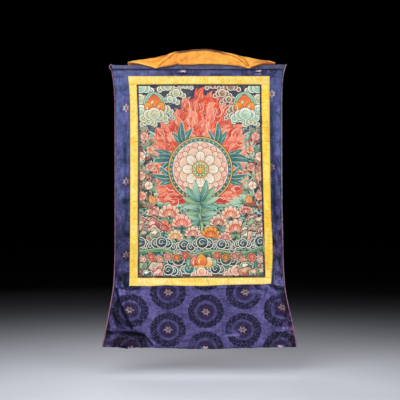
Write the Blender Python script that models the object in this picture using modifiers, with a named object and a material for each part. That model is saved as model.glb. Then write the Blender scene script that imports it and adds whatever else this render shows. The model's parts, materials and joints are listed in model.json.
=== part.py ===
"""Hanging scroll: a painted canvas framed in yellow silk strips and mounted on indigo brocade, with a rolled
heading, piped sides, and an orange silk cover that is sewn to the heading and thrown back over it.

Metres, +Z up. The front faces -Y. The origin is the middle of the heading's top edge, where the scroll is held.
Every flat piece is a patch of one gently folded hanging surface, cut to the outlines tabled below.
"""

import math
from collections import namedtuple

import bmesh
import bpy

MM = 0.001

# Cloth, as thick as its pasted and lined layers are together.
BROCADE_THICK = 2.0 * MM
CANVAS_THICK = 1.5 * MM
STRIP_THICK = 1.2 * MM
COVER_THICK = 2.0 * MM

# Seams are butted this close, the curved one at the skirt less so. The yellow strips stand this far off the
# cloth that they are sewn over, and that cloth runs in behind them this far.
SEAM_GAP = 0.3 * MM
SKIRT_SEAM_GAP = 0.9 * MM
STRIP_LIFT = 0.5 * MM
CANVAS_TUCK = 12 * MM
BROCADE_TUCK = 6 * MM

# The heading is the top hem, rolled round the hanging stave.
HEADING_DEEP = 9 * MM
HEADING_SIDES = 12
HEADING_RINGS = 24

PIPING_ACROSS = 3.6 * MM
PIPING_GAP = 0.7 * MM
PIPING_STEP = 26 * MM

# How wide and how tall the cells of each cloth are.
FRAME_CELL = (30 * MM, 30 * MM)
CANVAS_CELL = (36 * MM, 36 * MM)
SIDE_CELL = (10 * MM, 30 * MM)
SKIRT_CELL = (17 * MM, 17 * MM)

COLOURS = {
    "indigo_brocade": ((0.078, 0.079, 0.235), 0.55),
    "yellow_silk": ((0.93, 0.64, 0.13), 0.5),
    "painted_canvas": ((0.48, 0.27, 0.19), 0.8),
    "orange_silk": ((0.93, 0.42, 0.06), 0.4),
    "mauve_piping": ((0.30, 0.13, 0.20), 0.7),
}

# All the tables below are in millimetres.
# Outlines: where the left and right edges stand at each height. The first is the whole scroll, piping included.
Outline = namedtuple("Outline", "z left right")
SIDES = [
    Outline(0, -334, 337),
    Outline(-28, -329, 328),
    Outline(-74, -322, 322),
    Outline(-135, -318, 320),
    Outline(-515, -317, 321),
    Outline(-667, -317, 324),
    Outline(-781, -319, 327),
    Outline(-845, -323, 332),
    Outline(-895, -331, 340),
    Outline(-963, -344, 356),
    Outline(-1020, -355, 369),
    Outline(-1075, -367, 378),
]
FRAME_SIDES = [
    Outline(-44, -266, 272),
    Outline(-110, -260, 272),
    Outline(-249, -258, 273),
    Outline(-553, -258, 277),
    Outline(-705, -259, 284),
    Outline(-790, -260, 281),
    Outline(-841, -261, 276),
]
PAINTING_SIDES = [
    Outline(-76, -233, 241),
    Outline(-249, -228, 243),
    Outline(-553, -229, 250),
    Outline(-807, -229, 256),
]

# Level edges: their heights across the scroll, from left to right.
Level = namedtuple("Level", "x z")
HEADING_TOP = [Level(-334, 0), Level(337, 0)]
HEADING_SEAM = [Level(-334, -18.5), Level(-90, -19.5), Level(150, -19), Level(337, -18)]
FRAME_TOP = [Level(-266, -44), Level(272, -44)]
PAINTING_TOP = [Level(-233, -76), Level(0, -75), Level(241, -76)]
PAINTING_FOOT = [Level(-229, -807), Level(0, -810), Level(256, -806)]
FRAME_FOOT = [Level(-261, -841.5), Level(-150, -838.5), Level(0, -837), Level(276, -831)]
HEM = [Level(-367, -1073), Level(0, -1077), Level(378, -1073)]
# The skirt's seam shows under the side panels, and hides behind the yellow strip between them. The side panels
# widen under the strip's corners, from SPREAD_FROM down, to meet it there.
SKIRT_SEAM = [
    Level(-325, -851),
    Level(-262, -846),
    Level(-224, -836),
    Level(0, -830),
    Level(236, -826),
    Level(272, -837),
    Level(330, -846),
]
Spread = namedtuple("Spread", "left right")
SPREAD = Spread(34, 12)
SPREAD_FROM = -820
SPREAD_OVER = 24

# The folds that show, each a bell across its line, faded at both ends. Troughs go back, and ridges come forward.
Fold = namedtuple("Fold", "name x0 z0 x1 z1 back half_width")
FOLDS = [
    Fold("left skirt crease", -306, -882, -250, -1000, 9, 16),
    Fold("ridge beside the left skirt crease", -262, -890, -210, -1000, -3, 22),
    Fold("left hem crease", -322, -1018, -250, -1004, 7, 16),
    Fold("left hem crease, running out", -250, -1004, -172, -1066, 7, 16),
    Fold("left hem ridge", -330, -1054, -228, -1060, -6, 18),
    Fold("right skirt ridge", 318, -888, 352, -1040, -6, 20),
    Fold("right skirt trough", 282, -908, 292, -1030, 4, 18),
    Fold("skirt middle trough", 62, -912, 84, -1070, 4, 28),
    Fold("skirt left ridge", -120, -912, -128, -1070, -4, 30),
    Fold("skirt right ridge", 182, -912, 196, -1070, -4, 30),
    Fold("right panel trough", 304, -170, 306, -810, 3, 10),
    Fold("left panel ridge", -292, -150, -291, -790, -2.5, 12),
]
# The cloth keeps slow level waves from being rolled up, and they lean by ROLL_LEAN for each radian.
ROLL_WAVE = 1.4
ROLL_PITCH = 270
ROLL_LEAN = 340
ROLL_FADE = 90

# The orange cover at each station across the scroll: how high its front fold lies and how high its crest stands.
Station = namedtuple("Station", "x fold crest")
COVER_STATIONS = [
    Station(-266, 5.0, 9),
    Station(-250, 3.0, 14),
    Station(-205, -5.0, 23),
    Station(-176, -11.0, 28),
    Station(-159, -15.5, 32),
    Station(-142, -10.0, 38),
    Station(-112, -2.5, 47),
    Station(-70, 0.0, 55),
    Station(-20, 0.5, 58),
    Station(40, 0.0, 58),
    Station(92, -1.5, 53),
    Station(140, -5.0, 43),
    Station(176, -11.0, 34),
    Station(195, -15.5, 28),
    Station(214, -9.0, 23),
    Station(246, 1.0, 17),
    Station(278, 4.5, 12),
    Station(293, 5.0, 9),
]
COLUMNS_A_STATION = 2
# The cover's run at a station. It lies sewn on top of the heading, turns down over its front edge, and goes up
# the rows of RISE: each stands above the front fold by its share of the fold's rise to the crest and a little more.
# Then it drops behind the heading through DROP. The ridges press only where it stands in front of the heading.
SEWN_FROM_Y = 1.5
SEWN_TO_Y = -3.5
TURN_Y = -6.6
TURN_DROP = 0.6
Rise = namedtuple("Rise", "y share more")
RISE = [
    Rise(-9.0, 0.0, 0.0),
    Rise(-11.8, 0.0, 2.0),
    Rise(-11.6, 0.2, 1.5),
    Rise(-9.0, 0.5, 1.0),
    Rise(-4.5, 0.8, 0.5),
    Rise(1.0, 1.0, 0.0),
    Rise(6.5, 0.8, 0.0),
    Rise(9.6, 0.4, 0.0),
]
Drop = namedtuple("Drop", "y z")
DROP = [Drop(10.4, -8), Drop(10.2, -30)]
RIDGES_PRESS_BY = 9
COVER_RIDGES = [
    Fold("left ridge", -156, -4, -88, 44, -5, 13),
    Fold("left wing", -196, 8, -150, 26, 3, 16),
    Fold("right ridge", 191, -4, 112, 44, -5, 13),
    Fold("right wing", 226, 6, 178, 28, 3, 14),
]
OVER_ROWS = 20
HANG_ROWS = 16
COVER_HEM = -800
COVER_BEHIND = 2.6
COVER_EASE = 8


def smooth_through(rows, column, at, value):
    """A smooth curve through one column of a table, read where the table's column at has the given value."""
    rows = sorted(rows, key=lambda row: getattr(row, at))
    places = [getattr(row, at) for row in rows]
    heights = [getattr(row, column) for row in rows]
    last = len(rows) - 1

    def slope(i):
        before, after = max(i - 1, 0), min(i + 1, last)
        return (heights[after] - heights[before]) / (places[after] - places[before])

    if value <= places[0]:
        return heights[0] + slope(0) * (value - places[0])
    if value >= places[last]:
        return heights[last] + slope(last) * (value - places[last])
    i = max(k for k in range(last) if places[k] <= value)
    span = places[i + 1] - places[i]
    t = (value - places[i]) / span
    return hermite(heights[i], heights[i + 1], slope(i) * span, slope(i + 1) * span, t)


def hermite(start, end, start_slope, end_slope, t):
    """The cubic from start to end with the given slopes, at the share t of the way."""
    return (
        start * (1 + 2 * t) * (1 - t) ** 2
        + start_slope * t * (1 - t) ** 2
        + end * t * t * (3 - 2 * t)
        - end_slope * t * t * (1 - t)
    )


def edge(table, name, inset=0.0):
    """The left or right edge in a table of outlines, as a function of height. Inset moves it to the middle."""
    inward = inset if name == "left" else -inset
    return lambda z: smooth_through(table, name, "z", z / MM) * MM + inward


def level(table, raised=0.0):
    """A level edge as a function of x, raised or lowered."""
    return lambda x: smooth_through(table, "z", "x", x / MM) * MM + raised


def spread_edge(name):
    """A side panel's inner edge: behind the yellow strip, and widened below to meet the skirt's seam."""
    frame_edge = edge(FRAME_SIDES, name, BROCADE_TUCK)
    reach = getattr(SPREAD, name) * (MM if name == "left" else -MM)
    return lambda z: frame_edge(z) + reach * min(1.0, max(0.0, (SPREAD_FROM - z / MM) / SPREAD_OVER))


def fold_depth(fold, x, z):
    """How far back, in metres, one fold puts the point: a bell across its line, faded past both ends."""
    run_x, run_z = fold.x1 - fold.x0, fold.z1 - fold.z0
    length = math.hypot(run_x, run_z)
    from_x, from_z = x / MM - fold.x0, z / MM - fold.z0
    along = (from_x * run_x + from_z * run_z) / length
    across = (from_x * run_z - from_z * run_x) / length
    past_end = max(-along, along - length, 0.0)
    near = math.hypot(across, past_end) / fold.half_width
    return fold.back * MM * math.exp(-near * near)


def hang_depth(x, z):
    """The y of the hanging cloth's front face at x and z. Where folds of a kind meet they don't add up."""
    wave = ROLL_WAVE * MM * math.sin(2 * math.pi * z / MM / ROLL_PITCH + x / MM / ROLL_LEAN)
    fade = 1 - math.exp(-((z / MM / ROLL_FADE) ** 2))
    depths = [fold_depth(fold, x, z) for fold in FOLDS]
    troughs = math.hypot(*(max(depth, 0.0) for depth in depths))
    ridges = math.hypot(*(min(depth, 0.0) for depth in depths))
    return wave * fade + troughs - ridges


def new_material(name):
    colour, roughness = COLOURS[name]
    material = bpy.data.materials.new(name)
    material.use_nodes = True
    shader = material.node_tree.nodes["Principled BSDF"]
    shader.inputs["Base Color"].default_value = (*colour, 1.0)
    shader.inputs["Roughness"].default_value = roughness
    return material


def add_object(name, data, material):
    piece = bpy.data.objects.new(name, data)
    data.materials.append(material)
    scroll.objects.link(piece)
    return piece


def add_cloth(name, columns, rows, place, thickness, material, centred=False):
    """A grid set out by place(u, v), u from left to right and v from bottom to top. Its thickness goes behind
    that surface, or to both sides of it where it is centred."""
    grid = bmesh.new()
    bmesh.ops.create_grid(grid, x_segments=columns, y_segments=rows, size=0.5)
    for vertex in grid.verts:
        vertex.co = place(vertex.co.x + 0.5, vertex.co.y + 0.5)
    mesh = bpy.data.meshes.new(name)
    grid.to_mesh(mesh)
    grid.free()
    mesh.shade_smooth()
    piece = add_object(name, mesh, material)
    solidify = piece.modifiers.new("Thickness", "SOLIDIFY")
    solidify.thickness = thickness
    solidify.offset = 0 if centred else -1


def between(left, right, foot, top, u, v):
    """The point at shares u and v between two side edges, x at each height, and two level ones, z at each x."""
    z = foot(0) + (top(0) - foot(0)) * v
    for _ in range(4):
        x = left(z) + (right(z) - left(z)) * u
        z = foot(x) + (top(x) - foot(x)) * v
    return x, z


def add_panel(name, left, right, foot, top, cell, thickness, material, lift=0.0):
    """A panel between four edges, on the hanging surface or lifted off the front of it."""

    def place(u, v):
        x, z = between(left, right, foot, top, u, v)
        return (x, hang_depth(x, z) - lift, z)

    middle_x, middle_z = between(left, right, foot, top, 0.5, 0.5)
    columns = max(2, round((right(middle_z) - left(middle_z)) / cell[0]))
    rows = max(2, round((top(middle_x) - foot(middle_x)) / cell[1]))
    add_cloth(name, columns, rows, place, thickness, material)


def add_brocade(material):
    """The four brocade panels: over the painting, down each side of it, and the skirt below."""
    left = edge(SIDES, "left", PIPING_ACROSS + PIPING_GAP)
    right = edge(SIDES, "right", PIPING_ACROSS + PIPING_GAP)
    upper_seam = level(FRAME_TOP, -BROCADE_TUCK)
    below_upper_seam = level(FRAME_TOP, -BROCADE_TUCK - SEAM_GAP)
    skirt_seam = level(SKIRT_SEAM)
    above_skirt_seam = level(SKIRT_SEAM, SKIRT_SEAM_GAP)
    below_heading = level(HEADING_SEAM, -SEAM_GAP)
    panels = [
        ("brocade_top", left, right, upper_seam, below_heading, FRAME_CELL),
        ("brocade_left", left, spread_edge("left"), above_skirt_seam, below_upper_seam, SIDE_CELL),
        ("brocade_right", spread_edge("right"), right, above_skirt_seam, below_upper_seam, SIDE_CELL),
        ("brocade_skirt", left, right, level(HEM), skirt_seam, SKIRT_CELL),
    ]
    for name, *edges, cell in panels:
        add_panel(name, *edges, cell, BROCADE_THICK, material)


def add_painting(material):
    """The canvas, with its edges run in behind the yellow strips."""
    add_panel(
        "painting",
        edge(PAINTING_SIDES, "left", -CANVAS_TUCK),
        edge(PAINTING_SIDES, "right", -CANVAS_TUCK),
        level(PAINTING_FOOT, -CANVAS_TUCK),
        level(PAINTING_TOP, CANVAS_TUCK),
        CANVAS_CELL,
        CANVAS_THICK,
        material,
    )


def add_frame(material):
    """The yellow strips, sewn on over the canvas and the brocade. The level ones run the frame's full width, and
    the upright ones stand between them."""
    left, right = edge(FRAME_SIDES, "left"), edge(FRAME_SIDES, "right")
    inner_left, inner_right = edge(PAINTING_SIDES, "left"), edge(PAINTING_SIDES, "right")
    over, under = level(PAINTING_FOOT, SEAM_GAP), level(PAINTING_TOP, -SEAM_GAP)
    strips = [
        ("strip_top", left, right, level(PAINTING_TOP), level(FRAME_TOP)),
        ("strip_foot", left, right, level(FRAME_FOOT), level(PAINTING_FOOT)),
        ("strip_left", left, inner_left, over, under),
        ("strip_right", inner_right, right, over, under),
    ]
    for name, *edges in strips:
        add_panel(name, *edges, FRAME_CELL, STRIP_THICK, material, STRIP_LIFT + STRIP_THICK)


def add_heading(material):
    """The rolled heading: an upright oval carried along the top edge, its ends cut to the outline."""
    left = edge(SIDES, "left", PIPING_ACROSS + PIPING_GAP)
    right = edge(SIDES, "right", PIPING_ACROSS + PIPING_GAP)
    foot, top = level(HEADING_SEAM), level(HEADING_TOP)
    roll = bmesh.new()
    bmesh.ops.create_cone(
        roll, cap_ends=True, segments=HEADING_SIDES, radius1=0.5, radius2=0.5, depth=1.0
    )
    lengthwise = [e for e in roll.edges if abs(e.verts[0].co.z - e.verts[1].co.z) > 0.5]
    bmesh.ops.subdivide_edges(roll, edges=lengthwise, cuts=HEADING_RINGS - 1, use_grid_fill=True)
    for vertex in roll.verts:
        x, z = between(left, right, foot, top, vertex.co.z + 0.5, vertex.co.y + 0.5)
        vertex.co = (x, vertex.co.x * HEADING_DEEP + BROCADE_THICK / 2, z)
    mesh = bpy.data.meshes.new("heading")
    roll.to_mesh(mesh)
    roll.free()
    mesh.shade_smooth()
    add_object("heading", mesh, material)


# Where each piping's upper end goes before it meets the scroll's side, as x and z. The left one is curled over.
Bend = namedtuple("Bend", "x z")
PIPING_ENDS = {
    "left": [Bend(-326, 2.2), Bend(-331.5, 2.0), Bend(-335.8, -2.2), Bend(-336.4, -9.5), Bend(-333.8, -16)],
    "right": [Bend(335.5, 1.5), Bend(332.5, -8)],
}
PIPING_START = -22


def add_piping(name, material):
    """The cord down one side, from its end at the heading to the hem."""
    run = edge(SIDES, name, PIPING_ACROSS / 2)
    start, end = PIPING_START * MM, HEM[0].z * MM
    steps = round((start - end) / PIPING_STEP)
    points = [(bend.x * MM, bend.z * MM) for bend in PIPING_ENDS[name]]
    for i in range(steps + 1):
        z = start + (end - start) * i / steps
        points.append((run(z), z))
    curve = bpy.data.curves.new("piping_" + name, "CURVE")
    curve.dimensions = "3D"
    curve.bevel_depth = PIPING_ACROSS / 2
    curve.bevel_resolution = 1
    curve.use_fill_caps = True
    line = curve.splines.new("POLY")
    line.points.add(len(points) - 1)
    for point, (x, z) in zip(line.points, points):
        point.co = (x, hang_depth(x, z) + BROCADE_THICK / 2, z, 1)
    add_object("piping_" + name, curve, material)


def cover_section(x):
    """The cover's run at x, as (y, z) in millimetres: from its sewn end on top of the heading, forward to the
    front fold, up to the crest, and over to the back of the heading."""
    fold = smooth_through(COVER_STATIONS, "fold", "x", x)
    crest = smooth_through(COVER_STATIONS, "crest", "x", x)
    seam = (COVER_THICK / 2 + SEAM_GAP) / MM
    turn = min(seam - TURN_DROP, (seam + fold) / 2)
    return [
        (SEWN_FROM_Y, seam),
        (SEWN_TO_Y, seam),
        (TURN_Y, turn),
        *((row.y, fold + row.share * (crest - fold) + row.more) for row in RISE),
        *((row.y, row.z) for row in DROP),
    ]


def along(points, share):
    """The point at a share of the way through a row of points, on a smooth curve through them."""
    last = len(points) - 1
    i = min(int(share * last), last - 1)
    before, here = points[max(i - 1, 0)], points[i]
    there, after = points[i + 1], points[min(i + 2, last)]
    t = share * last - i
    return tuple(
        hermite(h, n, (n - b) / 2, (a - h) / 2, t) for b, h, n, a in zip(before, here, there, after)
    )


def add_cover(material):
    """The silk cover: its upper rows go over the crest, and the rest hang down behind."""
    spans = len(COVER_STATIONS) - 1
    columns = spans * COLUMNS_A_STATION
    rows = OVER_ROWS + HANG_ROWS

    def place(u, v):
        i = min(int(u * spans), spans - 1)
        here, there = COVER_STATIONS[i].x, COVER_STATIONS[i + 1].x
        x = here + (there - here) * (u * spans - i)
        section = cover_section(x)
        row = (1 - v) * rows
        if row <= OVER_ROWS:
            y, z = along(section, row / OVER_ROWS)
            pressed = min(1.0, max(0.0, -y / RIDGES_PRESS_BY))
            ridges = sum(fold_depth(ridge, x * MM, z * MM) for ridge in COVER_RIDGES)
            return (x * MM, y * MM + pressed * ridges, z * MM)
        last_y, last_z = section[-1]
        down = (row - OVER_ROWS) / HANG_ROWS
        z = (last_z + (COVER_HEM - last_z) * down) * MM
        behind = hang_depth(x * MM, z) + BROCADE_THICK + COVER_BEHIND * MM + COVER_THICK / 2
        ease = math.exp(-down * COVER_EASE)
        return (x * MM, last_y * MM * ease + behind * (1 - ease), z)

    add_cloth("cover", columns, rows, place, COVER_THICK, material, centred=True)


for old in list(bpy.data.objects):
    bpy.data.objects.remove(old, do_unlink=True)
scroll = bpy.data.collections.new("hanging_scroll")
bpy.context.scene.collection.children.link(scroll)

brocade = new_material("indigo_brocade")
add_brocade(brocade)
add_painting(new_material("painted_canvas"))
add_frame(new_material("yellow_silk"))
add_heading(brocade)
piping = new_material("mauve_piping")
add_piping("left", piping)
add_piping("right", piping)
add_cover(new_material("orange_silk"))
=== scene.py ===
"""The looks of a hanging scroll: a painted canvas framed in yellow silk, mounted on indigo brocade, with a
rolled heading, piped sides, and an orange silk cover thrown back over the top.

Shapes are worked out in millimetres and shrunk to metres as they become meshes. The front faces -Y.
"""

import json

import bmesh
import bpy
import numpy as np
from mathutils import Vector
from mathutils.bvhtree import BVHTree
from mathutils.geometry import delaunay_2d_cdt
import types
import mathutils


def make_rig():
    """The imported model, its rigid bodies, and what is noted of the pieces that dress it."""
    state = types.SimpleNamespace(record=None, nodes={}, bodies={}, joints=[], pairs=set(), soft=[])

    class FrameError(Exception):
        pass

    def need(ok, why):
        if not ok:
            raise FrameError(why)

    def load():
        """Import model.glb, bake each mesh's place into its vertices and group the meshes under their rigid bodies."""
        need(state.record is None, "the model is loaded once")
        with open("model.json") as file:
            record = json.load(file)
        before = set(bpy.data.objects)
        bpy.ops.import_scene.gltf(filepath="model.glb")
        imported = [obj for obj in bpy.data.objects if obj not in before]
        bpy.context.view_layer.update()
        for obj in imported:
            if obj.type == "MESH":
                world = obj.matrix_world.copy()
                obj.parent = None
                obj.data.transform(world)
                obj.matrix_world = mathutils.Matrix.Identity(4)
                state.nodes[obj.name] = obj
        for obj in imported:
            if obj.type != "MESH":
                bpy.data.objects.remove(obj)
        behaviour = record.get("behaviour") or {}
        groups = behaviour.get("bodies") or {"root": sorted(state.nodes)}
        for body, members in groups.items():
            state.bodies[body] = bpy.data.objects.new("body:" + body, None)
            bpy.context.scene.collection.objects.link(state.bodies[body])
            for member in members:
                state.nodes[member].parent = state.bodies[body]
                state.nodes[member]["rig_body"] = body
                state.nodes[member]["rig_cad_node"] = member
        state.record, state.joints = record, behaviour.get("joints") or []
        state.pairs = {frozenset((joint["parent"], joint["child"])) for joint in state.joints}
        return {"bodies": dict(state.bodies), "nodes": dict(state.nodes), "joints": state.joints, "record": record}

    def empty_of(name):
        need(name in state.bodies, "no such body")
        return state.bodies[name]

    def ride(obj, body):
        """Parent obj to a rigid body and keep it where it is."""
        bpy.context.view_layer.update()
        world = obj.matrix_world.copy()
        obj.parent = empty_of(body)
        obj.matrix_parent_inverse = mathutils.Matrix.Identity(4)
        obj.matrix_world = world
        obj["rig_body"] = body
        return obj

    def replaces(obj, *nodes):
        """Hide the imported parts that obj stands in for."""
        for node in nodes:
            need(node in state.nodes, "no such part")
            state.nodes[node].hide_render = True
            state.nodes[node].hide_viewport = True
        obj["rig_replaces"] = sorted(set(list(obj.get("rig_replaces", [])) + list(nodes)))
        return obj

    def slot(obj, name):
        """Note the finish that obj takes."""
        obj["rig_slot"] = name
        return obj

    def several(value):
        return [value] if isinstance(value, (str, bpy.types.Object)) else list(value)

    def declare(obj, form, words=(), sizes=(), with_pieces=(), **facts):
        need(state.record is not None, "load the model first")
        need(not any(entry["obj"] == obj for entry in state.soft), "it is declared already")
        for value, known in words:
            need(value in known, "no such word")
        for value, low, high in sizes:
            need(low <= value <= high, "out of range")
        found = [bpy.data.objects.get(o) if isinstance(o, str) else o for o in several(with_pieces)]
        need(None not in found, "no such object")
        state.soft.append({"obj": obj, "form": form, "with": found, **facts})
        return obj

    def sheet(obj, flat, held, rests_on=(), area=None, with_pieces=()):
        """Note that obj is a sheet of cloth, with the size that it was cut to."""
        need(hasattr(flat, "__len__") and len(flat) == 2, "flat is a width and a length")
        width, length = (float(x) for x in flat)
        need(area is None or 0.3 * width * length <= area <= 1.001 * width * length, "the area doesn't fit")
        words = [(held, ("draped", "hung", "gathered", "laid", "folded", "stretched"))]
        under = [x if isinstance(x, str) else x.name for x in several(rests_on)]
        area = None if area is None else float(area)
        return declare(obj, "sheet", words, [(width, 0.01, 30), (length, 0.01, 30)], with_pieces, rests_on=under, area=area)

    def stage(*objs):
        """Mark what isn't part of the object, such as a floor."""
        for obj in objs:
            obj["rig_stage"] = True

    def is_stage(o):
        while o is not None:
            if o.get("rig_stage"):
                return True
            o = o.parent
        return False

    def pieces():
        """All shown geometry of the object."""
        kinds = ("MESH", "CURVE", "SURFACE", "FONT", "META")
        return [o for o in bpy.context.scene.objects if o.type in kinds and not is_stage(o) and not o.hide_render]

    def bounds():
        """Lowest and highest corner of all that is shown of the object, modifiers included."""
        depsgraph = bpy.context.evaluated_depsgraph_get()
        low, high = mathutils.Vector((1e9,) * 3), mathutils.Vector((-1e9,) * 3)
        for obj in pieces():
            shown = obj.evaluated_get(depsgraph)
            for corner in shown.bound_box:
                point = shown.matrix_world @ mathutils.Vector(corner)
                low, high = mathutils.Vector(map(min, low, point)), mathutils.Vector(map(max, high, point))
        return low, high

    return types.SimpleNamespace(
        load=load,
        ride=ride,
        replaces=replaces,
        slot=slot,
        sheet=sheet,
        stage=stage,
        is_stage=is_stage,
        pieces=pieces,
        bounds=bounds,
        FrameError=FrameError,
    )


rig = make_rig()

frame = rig.load()
cad_box = [list(corner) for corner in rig.bounds()]

# ---- The hang of the cloth -----------------------------------------------------------------------
# The panels are pasted and sewn into one limp sheet that hangs from its heading. It keeps slow level
# waves from being rolled up, a few creases across the skirt where it was folded or pulled, and a fine
# crumple all over.

MM = 0.001
ROLL_WAVE, ROLL_PITCH, ROLL_LEAN, ROLL_FADE = 1.4, 270, 340, 90

# Each fold is a line from one point to another, how far back it goes there, and half its width.
FOLDS = {
    "left skirt crease": (-306, -882, -250, -1000, 9, 16),
    "ridge beside the left skirt crease": (-262, -890, -210, -1000, -3, 22),
    "left hem crease": (-322, -1024, -250, -1016, 7, 16),
    "left hem crease, running out": (-250, -1016, -172, -1066, 7, 16),
    "left hem ridge": (-330, -1054, -228, -1060, -6, 18),
    "right skirt ridge": (318, -888, 352, -1040, -6, 20),
    "right skirt trough": (282, -908, 292, -1030, 4, 18),
    "skirt middle trough": (62, -912, 84, -1070, 4, 28),
    "skirt left ridge": (-120, -912, -128, -1070, -4, 30),
    "skirt right ridge": (182, -912, 196, -1070, -4, 30),
    "right panel trough": (304, -170, 306, -810, 3, 10),
    "left panel ridge": (-292, -150, -291, -790, -2.5, 12),
}
FINE_FOLDS = {
    "crease under the right strip": (257, -848, 252, -886, 2.6, 4),
    "pull under the left strip": (-262, -852, -300, -880, -1.6, 7),
    "skirt seam pull, left": (-150, -852, -158, -900, 0.9, 6),
    "skirt seam pull, middle": (30, -850, 26, -893, 0.8, 7),
    "skirt seam pull, right": (170, -848, 178, -884, 0.9, 5),
    "hem bruise": (96, -1028, 150, -1016, -0.9, 4),
    "left corner crease": (-352, -1040, -318, -1066, 1.6, 6),
    "left edge pucker": (-330, -930, -296, -952, 1.3, 6),
    "right edge pucker": (350, -980, 316, -1002, 1.2, 6),
    "right corner lift": (366, -1062, 330, -1050, -1.5, 8),
    "left panel dent": (-312, -330, -276, -346, 0.9, 8),
    "right panel dent": (316, -520, 286, -536, 1.0, 8),
    "left panel knock": (-308, -612, -280, -604, -0.8, 7),
}
CRUMPLES = ((0.16, 34, 3), (0.10, 15, 4))


def bell(off, half_width, power=2):
    """1 where a distance is 0, fading to both sides: e to the minus square of its ratio to the half
    width."""
    return np.exp(-((off / half_width) ** power))


def fold_depth(fold, x, z):
    """How far back one fold puts each point: a bell across its line, faded past both ends."""
    x0, z0, x1, z1, back, half_width = fold
    run_x, run_z = x1 - x0, z1 - z0
    length = np.hypot(run_x, run_z)
    along = ((x - x0) * run_x + (z - z0) * run_z) / length
    across = ((x - x0) * run_z - (z - z0) * run_x) / length
    past_end = np.maximum(np.maximum(-along, along - length), 0)
    return back * np.exp(-((across**2 + past_end**2) / half_width**2))


def line_share(points, half_width, x, z):
    """1 on a line through several points and 0 away from it: the highest of the bells across its
    spans."""
    return np.max([fold_depth((*a, *b, 1, half_width), x, z) for a, b in zip(points, points[1:])], 0)


def crumple(x, z, pitch, seed, waves=14):
    """Uneven waves about a pitch apart: the sum of sines that each have their own way, length and
    phase."""
    draw = np.random.default_rng(seed)
    total = 0
    for _ in range(waves):
        way, phase = draw.uniform(0, 2 * np.pi, 2)
        length = pitch * draw.uniform(0.6, 1.7)
        total = total + np.sin(2 * np.pi * (x * np.cos(way) + z * np.sin(way)) / length + phase)
    return total / np.sqrt(waves / 2)


def hang(x, z):
    """The y of the cloth's front: level roll waves, then troughs and ridges, where folds of a kind meet
    combined as lengths so that they don't add up, then the fine folds and the crumple."""
    wave = ROLL_WAVE * np.sin(2 * np.pi * z / ROLL_PITCH + x / ROLL_LEAN)
    fade = 1 - bell(z, ROLL_FADE)
    depths = [fold_depth(fold, x, z) for fold in FOLDS.values()]
    troughs = np.sqrt(sum(np.maximum(depth, 0) ** 2 for depth in depths))
    ridges = np.sqrt(sum(np.minimum(depth, 0) ** 2 for depth in depths))
    fine = sum(fold_depth(fold, x, z) for fold in FINE_FOLDS.values())
    limp = sum(height * crumple(x, z, pitch, seed) for height, pitch, seed in CRUMPLES)
    return wave * fade + troughs - ridges + fine + limp


# ---- The brocade panels --------------------------------------------------------------------------
# The mount is violet-blue satin with dark roundels woven into it, each round a small metallic star. One
# length is the skirt, one lies over the painting, and two are turned by a quarter and run down its sides.
# They are seamed edge to edge with the raw edges pressed back, so each edge rolls away from the front.

BROCADE_THICK = 2.0
SLICES, SLICE_INSET = 90, 3
SEAM_DIP, SEAM_ROUND = 1.3, 1.6
PUCKER, PUCKER_PITCH, PUCKER_REACH = 0.28, 15, 9
EDGE_LINES = (0, 0.7, 1.6, 2.8)


def straight_on(levels, places):
    """The edge through places at levels, as a function that runs straight on past both ends."""
    first = (places[1] - places[0]) / (levels[1] - levels[0])
    last = (places[-1] - places[-2]) / (levels[-1] - levels[-2])

    def at(level):
        inside = np.interp(level, levels, places)
        return inside + np.minimum(level - levels[0], 0) * first + np.maximum(level - levels[-1], 0) * last

    return at


def outline(node, uneven):
    """The edges of a flat CAD node: left and right as functions of z, then foot and top as functions of
    x, and the height of its middle. Each is read by slicing the node's mesh at even levels and taking the
    outermost crossing of its triangles' sides. The slices keep clear of the ends, where the level edges
    are uneven by so much."""
    mesh = frame["nodes"][node].data
    corners = np.empty(len(mesh.vertices) * 3, np.float32)
    mesh.vertices.foreach_get("co", corners)
    corners = corners.reshape(-1, 3)[:, [0, 2]].astype(float) / MM
    sides = np.empty(len(mesh.edges) * 2, np.int32)
    mesh.edges.foreach_get("vertices", sides)
    start, end = corners[sides.reshape(-1, 2).T]

    def outermost(along, across, first, last):
        levels = np.linspace(first, last, SLICES)
        run = (end - start)[:, along, None]
        share = (levels - start[:, along, None]) / np.where(run == 0, np.inf, run)
        crossed = (share >= 0) & (share <= 1) & (run != 0)
        place = start[:, across, None] * (1 - share) + end[:, across, None] * share
        low = np.where(crossed, place, np.inf).min(0)
        high = np.where(crossed, place, -np.inf).max(0)
        return straight_on(levels, low), straight_on(levels, high)

    bottom, peak = corners[:, 1].min(), corners[:, 1].max()
    left, right = outermost(1, 0, bottom + uneven, peak - uneven)
    heights = np.linspace(bottom + uneven, peak - uneven, SLICES)
    foot, top = outermost(0, 1, left(heights).max() + SLICE_INSET, right(heights).min() - SLICE_INSET)
    return left, right, foot, top, (bottom + peak) / 2


def between(edges, u, v):
    """The points at shares u and v between the left and right edges and the foot and top edges."""
    left, right, foot, top, middle = edges
    z = middle + 0 * u
    for _ in range(5):
        x = left(z) + (right(z) - left(z)) * u
        z = foot(x) + (top(x) - foot(x)) * v
    return x, z


def spaced(length, step):
    """Shares of a length, a step apart and closer near both ends, where the cloth rolls over."""
    near = np.array(EDGE_LINES[:-1])
    middle = np.linspace(EDGE_LINES[-1], length - EDGE_LINES[-1], round(length / step) + 1)
    return np.r_[near, middle, length - near[::-1]] / length


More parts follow.
